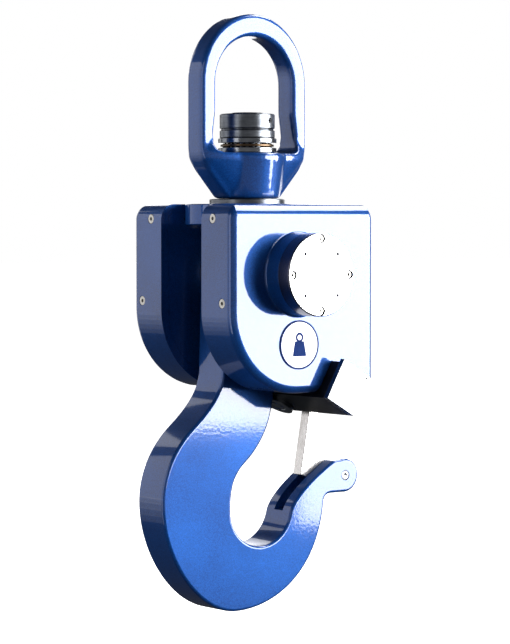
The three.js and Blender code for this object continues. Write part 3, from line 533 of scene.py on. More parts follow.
def scatter_tree(name, sockets):
    """A Geometry Nodes tree with its named inputs, its group ends and the sockets' identifiers."""
    tree = bpy.data.node_groups.new(name, "GeometryNodeTree")
    tree.interface.new_socket("Geometry", in_out="INPUT", socket_type="NodeSocketGeometry")
    keys = {}
    for label, value in sockets.items():
        kind = "NodeSocketInt" if isinstance(value, int) else "NodeSocketFloat"
        socket = tree.interface.new_socket(label, in_out="INPUT", socket_type=kind)
        socket.default_value = value
        keys[label] = socket.identifier
    keys["Finish"] = tree.interface.new_socket(
        "Finish", in_out="INPUT", socket_type="NodeSocketMaterial"
    ).identifier
    tree.interface.new_socket("Geometry", in_out="OUTPUT", socket_type="NodeSocketGeometry")
    return tree, tree.nodes.new("NodeGroupInput").outputs, keys


def close_tree(tree, inputs, geometry):
    """Ends a tree with real meshes, smooth shading and the finish."""
    real = add_node(tree, "GeometryNodeRealizeInstances", links={"Geometry": geometry})
    smooth = add_node(tree, "GeometryNodeSetShadeSmooth", links={"Geometry": real.outputs["Geometry"]})
    finish = add_node(
        tree,
        "GeometryNodeSetMaterial",
        links={"Geometry": smooth.outputs["Geometry"], "Material": inputs["Finish"]},
    )
    tree.nodes.new("NodeGroupOutput")
    tree.links.new(finish.outputs["Geometry"], tree.nodes["Group Output"].inputs["Geometry"])


def grown(name, body, tree, keys, finish, **sizes):
    """A piece grown by a tree from the points or edges of a bmesh, as a plain mesh."""
    made = piece(name, body)
    grow = made.modifiers.new("grow", "NODES")
    grow.node_group = tree
    grow[keys["Finish"]] = finish
    for label, value in sizes.items():
        grow[keys[label.replace("_", " ")]] = value
    return settle(made)


# The balls stand in a ring: one ball on each vertex of a circle that the tree is given.
ball_tree, ball_in, ball_keys = scatter_tree("balls on a circle", {"Ball radius": 0.0024})
ball = add_node(
    ball_tree, "GeometryNodeMeshUVSphere", {"Segments": 20, "Rings": 12}, {"Radius": ball_in["Ball radius"]}
)
balls = add_node(
    ball_tree,
    "GeometryNodeInstanceOnPoints",
    links={"Points": ball_in["Geometry"], "Instance": ball.outputs["Mesh"]},
)
close_tree(ball_tree, ball_in, balls.outputs["Instances"])

circle = bmesh.new()
ball_circle = (SHANK_RADIUS + RACE_RADIUS) / 2
for i in range(BALL_COUNT):
    turn = 2 * math.pi * i / BALL_COUNT
    circle.verts.new(
        place(ball_circle * math.cos(turn), ball_circle * math.sin(turn), CAGE_LOW + CAGE_HEIGHT / 2)
    )
bearing_balls = grown(
    "bearing_balls", circle, ball_tree, ball_keys, ground_steel, Ball_radius=CAGE_HEIGHT / 2 * MM
)
dress(bearing_balls, "housing", ground_steel, [], crease=None)

cage_middle = CAGE_LOW + CAGE_HEIGHT / 2
cage_profile = [(SHANK_RADIUS + 2, cage_middle - 1.2), (RACE_RADIUS - 3, cage_middle - 1.2)]
cage_profile += [(RACE_RADIUS - 3, cage_middle + 1.2), (SHANK_RADIUS + 2, cage_middle + 1.2)]
dress(
    piece("bearing_cage_ring", turned(soften(cage_profile, 0.4))),
    "housing",
    bearing_bronze,
    ["bearing_cage"],
)

nut_top = NUT_LOW + NUT_HEIGHT
nut_neck = NUT_LOW + NUT_STEP
nut_profile = [(SHANK_RADIUS + FIT, NUT_LOW), (NUT_RADIUS - 0.4, NUT_LOW), (NUT_RADIUS, NUT_LOW + 1.2)]
nut_profile += [
    (NUT_RADIUS, nut_neck - 1.6), (NUT_RADIUS - 1.6, nut_neck - 0.6), (NUT_RADIUS - 1.6, nut_neck + 0.4)
]
nut_profile += [(NUT_RADIUS, nut_neck + 1.4), (NUT_RADIUS, nut_top - 1.2), (NUT_RADIUS - 1.2, nut_top)]
nut_profile += [(SHANK_RADIUS + 1.5, nut_top), (SHANK_RADIUS + FIT, nut_top - 1.2)]
nut = piece("swivel_ring_nut", turned(soften(nut_profile, 0.4), sides=128))
lock_hole = rod(LOCK_RADIUS + FIT, SHANK_RADIUS + 2, NUT_RADIUS + 5, "x", (0, LOCK_Z), 32)
for v in lock_hole.verts:
    x, y = v.co.x, v.co.y
    v.co.x = x * math.cos(LOCK_TURN) - y * math.sin(LOCK_TURN)
    v.co.y = x * math.sin(LOCK_TURN) + y * math.cos(LOCK_TURN)
carve(nut, piece("lock_hole", lock_hole))
dress(nut, "housing", phosphated_steel, ["swivel_nut"])

shank_profile = [(0, SHANK_FOOT), (SHANK_HEAD_RADIUS, SHANK_FOOT), (SHANK_HEAD_RADIUS, SHANK_SHOULDER)]
shank_profile += [
    (SHANK_RADIUS, SHANK_SHOULDER), (SHANK_RADIUS, SHANK_TOP - 2), (SHANK_RADIUS - 2, SHANK_TOP)
]
shank_profile += [(4.5, SHANK_TOP), (0, SHANK_TOP - 5)]
dress(
    piece("swivel_shank_turned", turned(soften(shank_profile, 0.6))),
    "housing",
    phosphated_steel,
    ["swivel_shank"],
)

collar_top = COLLAR_LOW + COLLAR_HEIGHT
collar_profile = [
    (SHANK_RADIUS + FIT, COLLAR_LOW), (COLLAR_RADIUS, COLLAR_LOW), (COLLAR_RADIUS, collar_top - 1)
]
collar_profile += [(COLLAR_RADIUS - 1, collar_top), (SHANK_RADIUS + FIT, collar_top)]
dress(
    piece("swivel_collar_turned", turned(soften(collar_profile, 0.4), sides=128)),
    "housing",
    phosphated_steel,
    ["swivel_collar"],
)

# ---- screws ----
# All screws are alloy steel with a hexagon socket. The side and cap screws are zinc plated, which keeps a
# bright, slightly warm head; the inner bolts and the nut's lock screw have a black oxide.
ZINC = "#CFCCC4"
ZINC_SHADE = "#8F8D88"
OXIDE = "#17181A"
OXIDE_WORN = "#3A3B3D"
SOCKET_SIDES = 6
zinc_plate = turned_metal("zinc_plated_screw", ZINC_SHADE, ZINC, 0.2, 0.32, 0.0008)
black_oxide = turned_metal("black_oxide_steel", OXIDE, OXIDE_WORN, 0.32, 0.46, 0.0012)

screw_sizes = {
    "Head radius": 0.005,
    "Neck radius": 0.003,
    "Head height": 0.003,
    "Rim": 0.0004,
    "Socket radius": 0.002,
    "Socket depth": 0.002,
    "Shank radius": 0.0025,
    "Shank length": 0.01,
    "Seed": 7,
}
screw_tree, screw_in, screw_keys = scatter_tree("socket screws on points", screw_sizes)


def stacked(tree, kind, depth, drop, values, links, share=-0.5):
    """A cylinder or cone let down until its top is drop below the head's. A share near 0 leaves it proud."""
    body = add_node(tree, kind, values, {**links, "Depth": depth})
    low = add_node(tree, "ShaderNodeMath", {1: share}, {0: depth}, operation="MULTIPLY")
    if drop is not None:
        low = add_node(tree, "ShaderNodeMath", links={0: low.outputs[0], 1: drop}, operation="SUBTRACT")
    if kind == "GeometryNodeMeshCone":
        # A cone stands on its foot where a cylinder is centred, so it goes down by half its depth more.
        half = add_node(tree, "ShaderNodeMath", {1: -0.5}, {0: depth}, operation="MULTIPLY")
        low = add_node(
            tree, "ShaderNodeMath", links={0: low.outputs[0], 1: half.outputs[0]}, operation="ADD"
        )
    shift = add_node(tree, "ShaderNodeCombineXYZ", links={"Z": low.outputs[0]})
    moved = add_node(
        tree,
        "GeometryNodeTransform",
        links={"Geometry": body.outputs["Mesh"], "Translation": shift.outputs[0]},
    )
    return moved.outputs["Geometry"]


rim_radius = add_node(
    screw_tree,
    "ShaderNodeMath",
    links={0: screw_in["Head radius"], 1: screw_in["Rim"]},
    operation="SUBTRACT",
)
rim = stacked(
    screw_tree,
    "GeometryNodeMeshCone",
    screw_in["Rim"],
    None,
    {"Vertices": 32},
    {"Radius Top": rim_radius.outputs[0], "Radius Bottom": screw_in["Head radius"]},
)
head = stacked(
    screw_tree,
    "GeometryNodeMeshCone",
    screw_in["Head height"],
    screw_in["Rim"],
    {"Vertices": 32},
    {"Radius Top": screw_in["Head radius"], "Radius Bottom": screw_in["Neck radius"]},
)
stem = stacked(
    screw_tree,
    "GeometryNodeMeshCylinder",
    screw_in["Shank length"],
    screw_in["Head height"],
    {"Vertices": 24},
    {"Radius": screw_in["Shank radius"]},
)
recess = stacked(
    screw_tree,
    "GeometryNodeMeshCylinder",
    screw_in["Socket depth"],
    None,
    {"Vertices": SOCKET_SIDES},
    {"Radius": screw_in["Socket radius"]},
    share=-0.4,
)
whole = add_node(screw_tree, "GeometryNodeMeshBoolean", operation="UNION", solver="EXACT")
for part in (stem, head, rim):
    screw_tree.links.new(part, whole.inputs["Mesh 2"])
socketed = add_node(screw_tree, "GeometryNodeMeshBoolean", operation="DIFFERENCE", solver="EXACT")
screw_tree.links.new(whole.outputs["Mesh"], socketed.inputs["Mesh 1"])
screw_tree.links.new(recess, socketed.inputs["Mesh 2"])
aim = add_node(screw_tree, "GeometryNodeInputNamedAttribute", {"Name": "aim"}, data_type="FLOAT_VECTOR")
facing = add_node(
    screw_tree, "FunctionNodeAlignRotationToVector", links={"Vector": aim.outputs["Attribute"]}, axis="Z"
)
spin = add_node(
    screw_tree, "FunctionNodeRandomValue", {3: math.pi}, {"Seed": screw_in["Seed"]}, data_type="FLOAT"
)
twist = add_node(screw_tree, "FunctionNodeAxisAngleToRotation", links={"Angle": spin.outputs[1]})
turned_in = add_node(
    screw_tree,
    "FunctionNodeRotateRotation",
    links={"Rotation": facing.outputs["Rotation"], "Rotate By": twist.outputs["Rotation"]},
    rotation_space="LOCAL",
)
screws = add_node(
    screw_tree,
    "GeometryNodeInstanceOnPoints",
    links={
        "Points": screw_in["Geometry"],
        "Instance": socketed.outputs["Mesh"],
        "Rotation": turned_in.outputs["Rotation"],
    },
)
close_tree(screw_tree, screw_in, screws.outputs["Instances"])


def screw_set(name, spots, finish, slot, body, replaced, **sizes):
    """Screws with their heads' tops at spots, each a place in millimetres and the way its head faces."""
    points = bmesh.new()
    aims = points.verts.layers.float_vector.new("aim")
    for spot, way in spots:
        points.verts.new(place(*spot))[aims] = way
    made = grown(name, points, screw_tree, screw_keys, finish, **{k: v * MM for k, v in sizes.items()})
    made.data.attributes.remove(made.data.attributes["aim"])
    return dress(made, body, finish, replaced)


lock_way = (math.cos(LOCK_TURN), math.sin(LOCK_TURN), 0)
lock_end = NUT_RADIUS - 0.7
screw_set(
    "nut_lock_set_screw",
    [((lock_end * lock_way[0], lock_end * lock_way[1], LOCK_Z), lock_way)],
    black_oxide,
    "black_oxide",
    "housing",
    ["nut_lock_screw"],
    Head_radius=LOCK_RADIUS,
    Neck_radius=LOCK_RADIUS,
    Head_height=2.0,
    Rim=0.3,
    Socket_radius=1.6,
    Socket_depth=2.4,
    Shank_radius=2.9,
    Shank_length=8.0,
)

# ---- crosshead and cheeks ----
# The crosshead is a block with rounded ends, flame-cut, machined and painted. It bridges the slot at the top
# and is bolted between two cheek plates, 12 mm steel, which carry the axle.
CROSSHEAD_LOW = 56.0
CROSSHEAD_HIGH = 80.0
CROSSHEAD_HALF_LENGTH = 80.0
CROSSHEAD_HALF_WIDTH = 38.7
CROSSHEAD_ROUND = 1.6
CROSSHEAD_BOLT_X = 58.0
CROSSHEAD_BOLT_Z = 62.9
CROSSHEAD_BOLT_SHANK = 4.0
CROSSHEAD_BOLT_HEAD = 6.5
CROSSHEAD_BOLT_PROUD = 8.3
CHEEK_OUT = 51.0


def crosshead_block():
    """Its outline lies in plan, so it is made as a plate across Y and tipped onto its back."""
    straight = CROSSHEAD_HALF_LENGTH - CROSSHEAD_HALF_WIDTH
    plan = arc(straight, 0, CROSSHEAD_HALF_WIDTH, -math.pi / 2, math.pi / 2, 40) + [
        (straight, CROSSHEAD_HALF_WIDTH)
    ]
    plan += arc(-straight, 0, CROSSHEAD_HALF_WIDTH, math.pi / 2, 1.5 * math.pi, 40) + [
        (-straight, -CROSSHEAD_HALF_WIDTH)
    ]
    body = plate(plan, CROSSHEAD_LOW, CROSSHEAD_HIGH, CROSSHEAD_ROUND, CROSSHEAD_ROUND, 4)
    for v in body.verts:
        along, across = v.co.y, v.co.z - AXLE_Z
        v.co.y, v.co.z = across, AXLE_Z + along
    bmesh.ops.recalc_face_normals(body, faces=body.faces)
    return body


crosshead = piece("crosshead_block", crosshead_block())
bore_profile = [(0, 50), (SHANK_HEAD_RADIUS + FIT, 50), (SHANK_HEAD_RADIUS + FIT, SHANK_SHOULDER + FIT)]
bore_profile += [(SHANK_RADIUS + FIT, SHANK_SHOULDER + FIT), (SHANK_RADIUS + FIT, 90), (0, 90)]
carve(crosshead, piece("shank_bore", turned(bore_profile)))
for x in (-CROSSHEAD_BOLT_X, CROSSHEAD_BOLT_X):
    through = rod(CROSSHEAD_BOLT_SHANK + FIT, -45, 45, "y", (x, CROSSHEAD_BOLT_Z), 24)
    carve(crosshead, piece("bolt_hole", through))
dress(crosshead, "housing", blue_enamel, ["crosshead"])

bolt_spots = [
    ((x, side * (CHEEK_OUT + CROSSHEAD_BOLT_PROUD), CROSSHEAD_BOLT_Z), (0, side, 0))
    for side in (-1, 1)
    for x in (-CROSSHEAD_BOLT_X, CROSSHEAD_BOLT_X)
]
screw_set(
    "crosshead_socket_bolts",
    bolt_spots,
    black_oxide,
    "black_oxide",
    "housing",
    ["crosshead_bolt_%s_%d" % (side, i) for side in ("near", "far") for i in (1, 2)],
    Head_radius=CROSSHEAD_BOLT_HEAD,
    Neck_radius=CROSSHEAD_BOLT_HEAD,
    Head_height=7.5,
    Rim=0.5,
    Socket_radius=3.4,
    Socket_depth=4.0,
    Shank_radius=CROSSHEAD_BOLT_SHANK,
    Shank_length=35.0,
)

# ---- housing shells ----
# Each shell is an aluminium casting, machined on its flat faces and sprayed with metallic blue enamel: a
# face with a large rounded edge, walls 10 mm thick and a round boss for the axle, open towards the slot.
HOUSING_LEFT = 95.0
HOUSING_RIGHT = 113.0
HOUSING_TOP = 80.0
CORNER_DROP = 40.5
TOP_CORNER = 18.0
SLOT_HALF = 39.0
SHELL_OUT = 95.0
SHELL_ROUND = 9.0
TOP_ROUND = 15.0
SHELL_WALL = 10.0
SHELL_FACE = 8.0
SHELL_BOSS = 47.0
BOSS_OUT = 117.5
BOSS_FILLET = 2.5
AXLE_RADIUS = 28.0
BLOCK_TILT = math.radians(30)
BLOCK_WIDTH = 44.0
BLOCK_HEIGHT = 47.0
BLOCK_LEFT = 26.0
BLOCK_LOW = -140.5
BLOCK_GAP = 0.6
SIDE_SCREWS = ((63.0, 59.5), (-32.0, 77.0))
SIDE_HEAD = 5.6
SIDE_HOLE = 3.4
SIDE_HOLE_DEPTH = 24.0


def housing_outline(inset):
    """The shell's outline moved inwards: a quarter round at the lower left and two rounded top corners."""
    radius = HOUSING_LEFT - inset
    corner = TOP_CORNER - inset
    corner_z = HOUSING_TOP - TOP_CORNER
    loop = arc(0, -CORNER_DROP, radius, math.pi, 1.5 * math.pi, 40)
    loop += [(0, -CORNER_DROP - radius), (HOUSING_RIGHT - inset, -CORNER_DROP - radius)]
    loop += arc(HOUSING_RIGHT - TOP_CORNER, corner_z, corner, 0, math.pi / 2, 14)
    loop += [(HOUSING_RIGHT - TOP_CORNER, HOUSING_TOP - inset)]
    loop += arc(TOP_CORNER - HOUSING_LEFT, corner_z, corner, math.pi / 2, math.pi, 14)
    return loop + [(-radius, corner_z)]


def block_corners(left, low, right, high):
    """The tilted magnet block's corners, with each edge moved outwards."""
    u = Vector((math.cos(BLOCK_TILT), -math.sin(BLOCK_TILT)))
    v = Vector((math.sin(BLOCK_TILT), math.cos(BLOCK_TILT)))
    foot = Vector((BLOCK_LEFT, BLOCK_LOW))
    spots = (
        (-left, -low),
        (BLOCK_WIDTH + right, -low),
        (BLOCK_WIDTH + right, BLOCK_HEIGHT + high),
        (-left, BLOCK_HEIGHT + high),
    )
    return [tuple(foot + u * a + v * b) for a, b in spots]


def block_room(gap):
    """What the block takes out of a shell: its outline with a gap, and all that lies right of it."""
    low_left, _, high_right, high_left = block_corners(gap, 190, gap, gap)
    return plate([low_left, (230, low_left[1]), (230, high_right[1]), high_right, high_left], -240, 240)


def flipped(made, side):
    """A piece built on the far side, turned to the near side where side is -1."""
    if side < 0:
        for v in made.data.vertices:
            v.co.y = -v.co.y
        made.data.flip_normals()
    return made


def top_rounding():
    """A bar along X whose upper outer edge is rounded; what a shell shares with it keeps that rounding."""
    centre = (SHELL_OUT - TOP_ROUND, HOUSING_TOP - TOP_ROUND)
    loop = [(SLOT_HALF - 10, -200), (SHELL_OUT, -200)] + arc(*centre, TOP_ROUND, 0, math.pi / 2, 16)
    bar = plate(loop + [(SHELL_OUT - TOP_ROUND, HOUSING_TOP), (SLOT_HALF - 10, HOUSING_TOP)], -200, 200)
    for v in bar.verts:
        v.co.x, v.co.y = v.co.y, v.co.x
    bmesh.ops.recalc_face_normals(bar, faces=bar.faces)
    return bar


def shell(side):
    """One casting, built on the far side."""
    body = piece("shell", plate(housing_outline(0), SLOT_HALF, SHELL_OUT, 0, SHELL_ROUND, 9))
    carve(body, piece("top_rounding", top_rounding()), "INTERSECT")
    profile = [(0, SHELL_OUT - 5), (SHELL_BOSS + 6, SHELL_OUT - 5), (SHELL_BOSS + 6, SHELL_OUT - 0.05)]
    profile += bend(
        [
            (SHELL_BOSS + BOSS_FILLET, SHELL_OUT),
            (SHELL_BOSS, SHELL_OUT),
            (SHELL_BOSS, SHELL_OUT + BOSS_FILLET),
        ],
        5,
    )
    profile += [
        (SHELL_BOSS, SHELL_OUT + BOSS_FILLET),
        (SHELL_BOSS, BOSS_OUT - 0.5),
        (SHELL_BOSS - 0.5, BOSS_OUT),
        (0, BOSS_OUT),
    ]
    carve(body, piece("boss", turned(profile, "y", sides=128)), "UNION")
    hollow = piece("hollow", plate(housing_outline(SHELL_WALL), SLOT_HALF - 1, SHELL_OUT - SHELL_FACE))
    carve(hollow, piece("wall", block_room(BLOCK_GAP + SHELL_WALL)))
    carve(body, hollow)
    carve(body, piece("room", block_room(BLOCK_GAP)))
    carve(body, piece("axle_bore", rod(AXLE_RADIUS + FIT, SLOT_HALF - 5, BOSS_OUT + 5, "y")))
    for flank, inward in ((-HOUSING_LEFT, 1), (HOUSING_RIGHT, -1)):
        for z, y in SIDE_SCREWS:
            steps = [(0, -1), (SIDE_HEAD + FIT, -1), (SIDE_HEAD + FIT, 0.3), (SIDE_HOLE, 3.4)]
            steps += [(SIDE_HOLE, SIDE_HOLE_DEPTH), (0, SIDE_HOLE_DEPTH)]
            hole = turned([(r, flank + inward * a) for r, a in steps], "x", (y, z), 32)
            carve(body, piece("screw_hole", hole))
    return flipped(body, side)


for side_name, side in (("near", -1), ("far", 1)):
    made = shell(side)
    made.name = "housing_casting_" + side_name
    dress(made, "housing", blue_enamel, ["housing_shell_" + side_name])

side_spots = []
for side in (-1, 1):
    for flank, way in ((-HOUSING_LEFT, -1), (HOUSING_RIGHT, 1)):
        side_spots += [((flank - way * 0.3, side * y, z), (way, 0, 0)) for z, y in SIDE_SCREWS]
screw_set(
    "side_socket_screws",
    side_spots,
    zinc_plate,
    "zinc_screw",
    "housing",
    ["side_screw_%s_%d" % (side, i) for side in ("near", "far") for i in (1, 2, 3, 4)],
    Head_radius=SIDE_HEAD,
    Neck_radius=3.0,
    Head_height=2.8,
    Rim=0.4,
    Socket_radius=2.3,
    Socket_depth=2.2,
    Shank_radius=2.95,
    Shank_length=16.0,
)

# ---- axle caps ----
# The caps are turned from stainless bar and faced with fine concentric tool lines; their sides and holes, set
# back from the face, are painted a dark grey that stands in for shade and dark reflections.
# Each has a small chamfer, four counterbored M5 screws and four pilot holes for a bracket.
CAP_RADIUS = 47.0
CAP_IN = 117.8
CAP_OUT = 136.8
CAP_CHAMFER = 1.2
CAP_SCREW_CIRCLE = 40.6
CAP_SCREW_HEAD = 4.7
CAP_SINK = 3.0
CAP_HOLE = 2.8
SCREW_SUNK = 1.9
CAP_PILOT_CIRCLE = 33.0
CAP_PILOT = 2.0
STAINLESS_DARK = "#8B8D90"
STAINLESS_LIGHT = "#D5D6D8"
# painted shade: the dark grey of the caps' sides and holes, standing in for their shade and dark reflections
CAP_PAINTED_SHADE = "#6E6C78"
CAP_PAINTED_SHADE_DEPTH = 0.0006
TOOL_LINE = 0.0016


def faced_stainless():
    """Stainless steel faced in rings 1.6 mm apart; all that lies below its outer face is painted dark grey, a
    painted shade.
    """
    material, tree, coords = new_finish("faced_stainless_steel")
    centred = add_node(tree, "ShaderNodeMapping", {"Location": (0, 0, -AXLE_Z)}, {"Vector": coords})
    lines = add_node(
        tree,
        "ShaderNodeTexWave",
        {"Scale": 1 / (TOOL_LINE * 3.1), "Distortion": 0.4, "Detail": 2.0},
        {"Vector": centred.outputs["Vector"]},
        wave_type="RINGS",
        rings_direction="Y",
    )
    stain = add_node(tree, "ShaderNodeTexNoise", {"Scale": 45.0, "Detail": 4.0}, {"Vector": coords})
    both = add_node(
        tree,
        "ShaderNodeMath",
        {1: 0.3},
        {0: lines.outputs["Fac"], 2: stain.outputs["Fac"]},
        operation="MULTIPLY_ADD",
    )
    tone = add_node(
        tree, "ShaderNodeMapRange", {"From Min": 0.2, "From Max": 0.9}, {"Value": both.outputs[0]}
    )
    colour = add_node(
        tree,
        "ShaderNodeMix",
        {6: linear(STAINLESS_DARK), 7: linear(STAINLESS_LIGHT)},
        {0: tone.outputs["Result"]},
        data_type="RGBA",
    )
    # Painted shade: all that lies more than 0.6 mm below the outer face, the side, counterbores and pilot
    # holes, is mixed to the dark grey.
    axes = add_node(tree, "ShaderNodeSeparateXYZ", links={"Vector": coords})
    depth = add_node(tree, "ShaderNodeMath", links={0: axes.outputs["Y"]}, operation="ABSOLUTE")
    face_y = CAP_OUT * MM
    clear_of_painted_shade = add_node(
        tree,
        "ShaderNodeMapRange",
        {"From Min": face_y - CAP_PAINTED_SHADE_DEPTH, "From Max": face_y - CAP_PAINTED_SHADE_DEPTH / 2},
        {"Value": depth.outputs[0]},
    )
    skin = add_node(
        tree,
        "ShaderNodeMix",
        {6: linear(CAP_PAINTED_SHADE)},
        {0: clear_of_painted_shade.outputs["Result"], 7: colour.outputs[2]},
        data_type="RGBA",
    )
    rough = add_node(
        tree, "ShaderNodeMapRange", {"To Min": 0.24, "To Max": 0.34}, {"Value": lines.outputs["Fac"]}
    )
    relief = add_node(
        tree, "ShaderNodeBump", {"Strength": 0.06, "Distance": 0.0001}, {"Height": lines.outputs["Fac"]}
    )
    links = {
        "Base Color": skin.outputs[2],
        "Roughness": rough.outputs["Result"],
        "Normal": relief.outputs["Normal"],
    }
    lay_on(tree, {"Metallic": 1.0}, links)
    return material


stainless = faced_stainless()
cap_spots = []
for side_name, side in (("near", -1), ("far", 1)):
    cap_profile = [
        (0, CAP_IN),
        (CAP_RADIUS, CAP_IN),
        (CAP_RADIUS, CAP_OUT - CAP_CHAMFER),
        (CAP_RADIUS - CAP_CHAMFER, CAP_OUT),
    ]
    cap = piece("cap", turned(soften(cap_profile + [(0, CAP_OUT)], 0.3), "y", sides=160))
    for i in range(4):
        turn = i * math.pi / 2
        x, z = CAP_SCREW_CIRCLE * math.cos(turn), CAP_SCREW_CIRCLE * math.sin(turn)
        sink = [
            (0, CAP_IN - 2),
            (CAP_HOLE, CAP_IN - 2),
            (CAP_HOLE, CAP_OUT - CAP_SINK - 0.4),
            (CAP_SCREW_HEAD + 0.5, CAP_OUT - CAP_SINK - 0.4),
        ]
        sink += [(CAP_SCREW_HEAD + 0.5, CAP_OUT + 2), (0, CAP_OUT + 2)]
        carve(cap, piece("counterbore", turned(sink, "y", (x, z), 40)))
        cap_spots.append(((x, side * (CAP_OUT - SCREW_SUNK), z), (0, side, 0)))
        turn += math.pi / 4
        x, z = CAP_PILOT_CIRCLE * math.cos(turn), CAP_PILOT_CIRCLE * math.sin(turn)
        pilot = [(0, CAP_OUT - 8), (CAP_PILOT, CAP_OUT - 7), (CAP_PILOT, CAP_OUT + 2), (0, CAP_OUT + 2)]
        carve(cap, piece("pilot", turned(pilot, "y", (x, z), 24)))
    flipped(cap, side).name = "axle_cap_faced_" + side_name
    dress(cap, "housing", stainless, ["axle_cap_" + side_name])

screw_set(
    "cap_socket_screws",
    cap_spots,
    zinc_plate,
    "zinc_screw",
    "housing",
    ["cap_screw_%s_%d" % (side, i) for side in ("near", "far") for i in (1, 2, 3, 4)],
    Head_radius=CAP_SCREW_HEAD - 0.6,
    Neck_radius=CAP_SCREW_HEAD - 0.6,
    Head_height=CAP_SINK - 0.6,
    Rim=0.4,
    Socket_radius=2.1,
    Socket_depth=2.0,
    Shank_radius=2.4,
    Shank_length=22.0,
)

# ---- badge ----
# The badge is a round white enamelled plate with a rim printed in navy. It carries only a plain pictogram of
# a weight with its handle, printed thick, in place of any name.
BADGE_X = 1.0
BADGE_Z = -80.0
BADGE_RADIUS = 28.0
BADGE_FACE = -96.0
BADGE_BACK = -95.3
BADGE_RIM = 2.0
BADGE_PROUD = -96.3
BADGE_WHITE = "#E9ECF1"
BADGE_CLOUD = "#DDE1E8"
INK_NAVY = "#16306E"
INK_NAVY_DEEP = "#102452"


def vitreous_enamel(name, tone_a, tone_b):
    """Fired enamel: hard and glossy, with a slow unevenness of tone and a faint ripple."""
    material, tree, coords = new_finish(name)
    cloud = add_node(tree, "ShaderNodeTexNoise", {"Scale": 70.0, "Detail": 3.0}, {"Vector": coords})
    colour = add_node(
        tree,
        "ShaderNodeMix",
        {6: linear(tone_a), 7: linear(tone_b)},
        {0: cloud.outputs["Fac"]},
        data_type="RGBA",
    )
    rough = add_node(
        tree, "ShaderNodeMapRange", {"To Min": 0.12, "To Max": 0.22}, {"Value": cloud.outputs["Fac"]}
    )
    ripple = add_node(tree, "ShaderNodeTexNoise", {"Scale": 300.0, "Detail": 1.0}, {"Vector": coords})
    relief = add_node(
        tree, "ShaderNodeBump", {"Strength": 0.04, "Distance": 0.0002}, {"Height": ripple.outputs["Fac"]}
    )
    links = {
        "Base Color": colour.outputs[2],
        "Roughness": rough.outputs["Result"],
        "Normal": relief.outputs["Normal"],
    }
    lay_on(tree, {"IOR": 1.52, "Coat Weight": 0.5}, links)
    return material


def matt_ink():
    """Screen-printed matt ink in navy, slightly mottled, with the fine weave of the screen."""
    weave_size = 0.0005
    material, tree, coords = new_finish("navy_matt_ink")
    mottle = add_node(tree, "ShaderNodeTexNoise", {"Scale": 250.0, "Detail": 3.0}, {"Vector": coords})
    colour = add_node(
        tree,
        "ShaderNodeMix",
        {6: linear(INK_NAVY_DEEP), 7: linear(INK_NAVY)},
        {0: mottle.outputs["Fac"]},
        data_type="RGBA",
    )
    rough = add_node(
        tree, "ShaderNodeMapRange", {"To Min": 0.6, "To Max": 0.75}, {"Value": mottle.outputs["Fac"]}
    )
    weave = add_node(tree, "ShaderNodeTexVoronoi", {"Scale": 1 / weave_size}, {"Vector": coords})
    relief = add_node(
        tree, "ShaderNodeBump", {"Strength": 0.1, "Distance": 0.0001}, {"Height": weave.outputs["Distance"]}
    )
    links = {
        "Base Color": colour.outputs[2],
        "Roughness": rough.outputs["Result"],
        "Normal": relief.outputs["Normal"],
    }
    lay_on(tree, {"Specular IOR Level": 0.06}, links)
    return material


white_enamel = vitreous_enamel("white_vitreous_enamel", BADGE_WHITE, BADGE_CLOUD)
navy_ink = matt_ink()
badge_centre = (BADGE_X, BADGE_Z)
badge_inner = BADGE_RADIUS - BADGE_RIM
badge_disc = turned(
    [(0, BADGE_BACK), (badge_inner, BADGE_BACK), (badge_inner, BADGE_FACE), (0, BADGE_FACE)],
    "y",
    badge_centre,
    128,
)
dress(piece("badge_disc", badge_disc), "housing", white_enamel, ["badge_plate"])
rim_profile = [
    (badge_inner + 0.05, BADGE_BACK),
    (BADGE_RADIUS, BADGE_BACK),
    (BADGE_RADIUS, BADGE_PROUD),
    (badge_inner + 0.05, BADGE_PROUD),
]
badge_rim = turned(soften(rim_profile, 0.2), "y", badge_centre, 128)
dress(piece("badge_rim", badge_rim), "housing", navy_ink, [])
weight = [(-9.5, -13), (9.5, -13), (9.5, -11), (6.5, 4), (-6.5, 4), (-9.5, -11)]
weight = [(BADGE_X + x, BADGE_Z + z) for x, z in weight]
dress(
    piece("badge_weight", plate(weight, BADGE_PROUD, BADGE_FACE + 0.05, 0.15, 0, 2)),
    "housing",
    navy_ink,
    [],
)
handle_outer = arc(BADGE_X, BADGE_Z + 8.4, 5.6, 0, 2 * math.pi, 48)
handle_inner = arc(BADGE_X, BADGE_Z + 8.4, 3.0, 0, 2 * math.pi, 48)
handle = plate(handle_outer, BADGE_PROUD, BADGE_FACE + 0.05, 0.15, 0, 2, handle_inner)
dress(piece("badge_handle", handle), "housing", navy_ink, [])

# ---- magnet block ----
# The block is a black-oxided steel bar right across the housing, tilted 30 degrees to meet the hanging sling
# ring. Ground stainless plates close its ends, and a nickel-plated pot magnet is pressed into its lower face.
BLOCK_OUT = 108.5
BLOCK_EDGE = 0.8
END_IN = 108.8
END_OUT = 115.5
END_RISE = 3.5
END_PIN = 1.3
MAGNET_RADIUS = 20.0
MAGNET_PROUD = 5.0
MAGNET_SINK = 12.0


def on_block(body):
    """Turns a body made about the vertical axis onto the block's lower face."""
    along = BLOCK_WIDTH / 2 + 1
    foot = place(BLOCK_LEFT + math.cos(BLOCK_TILT) * along, 0, BLOCK_LOW - math.sin(BLOCK_TILT) * along)
    for v in body.verts:
        x, z = v.co.x, v.co.z - AXLE_Z
        v.co.x = foot.x + x * math.cos(BLOCK_TILT) + z * math.sin(BLOCK_TILT)
        v.co.z = foot.z - x * math.sin(BLOCK_TILT) + z * math.cos(BLOCK_TILT)
    return body


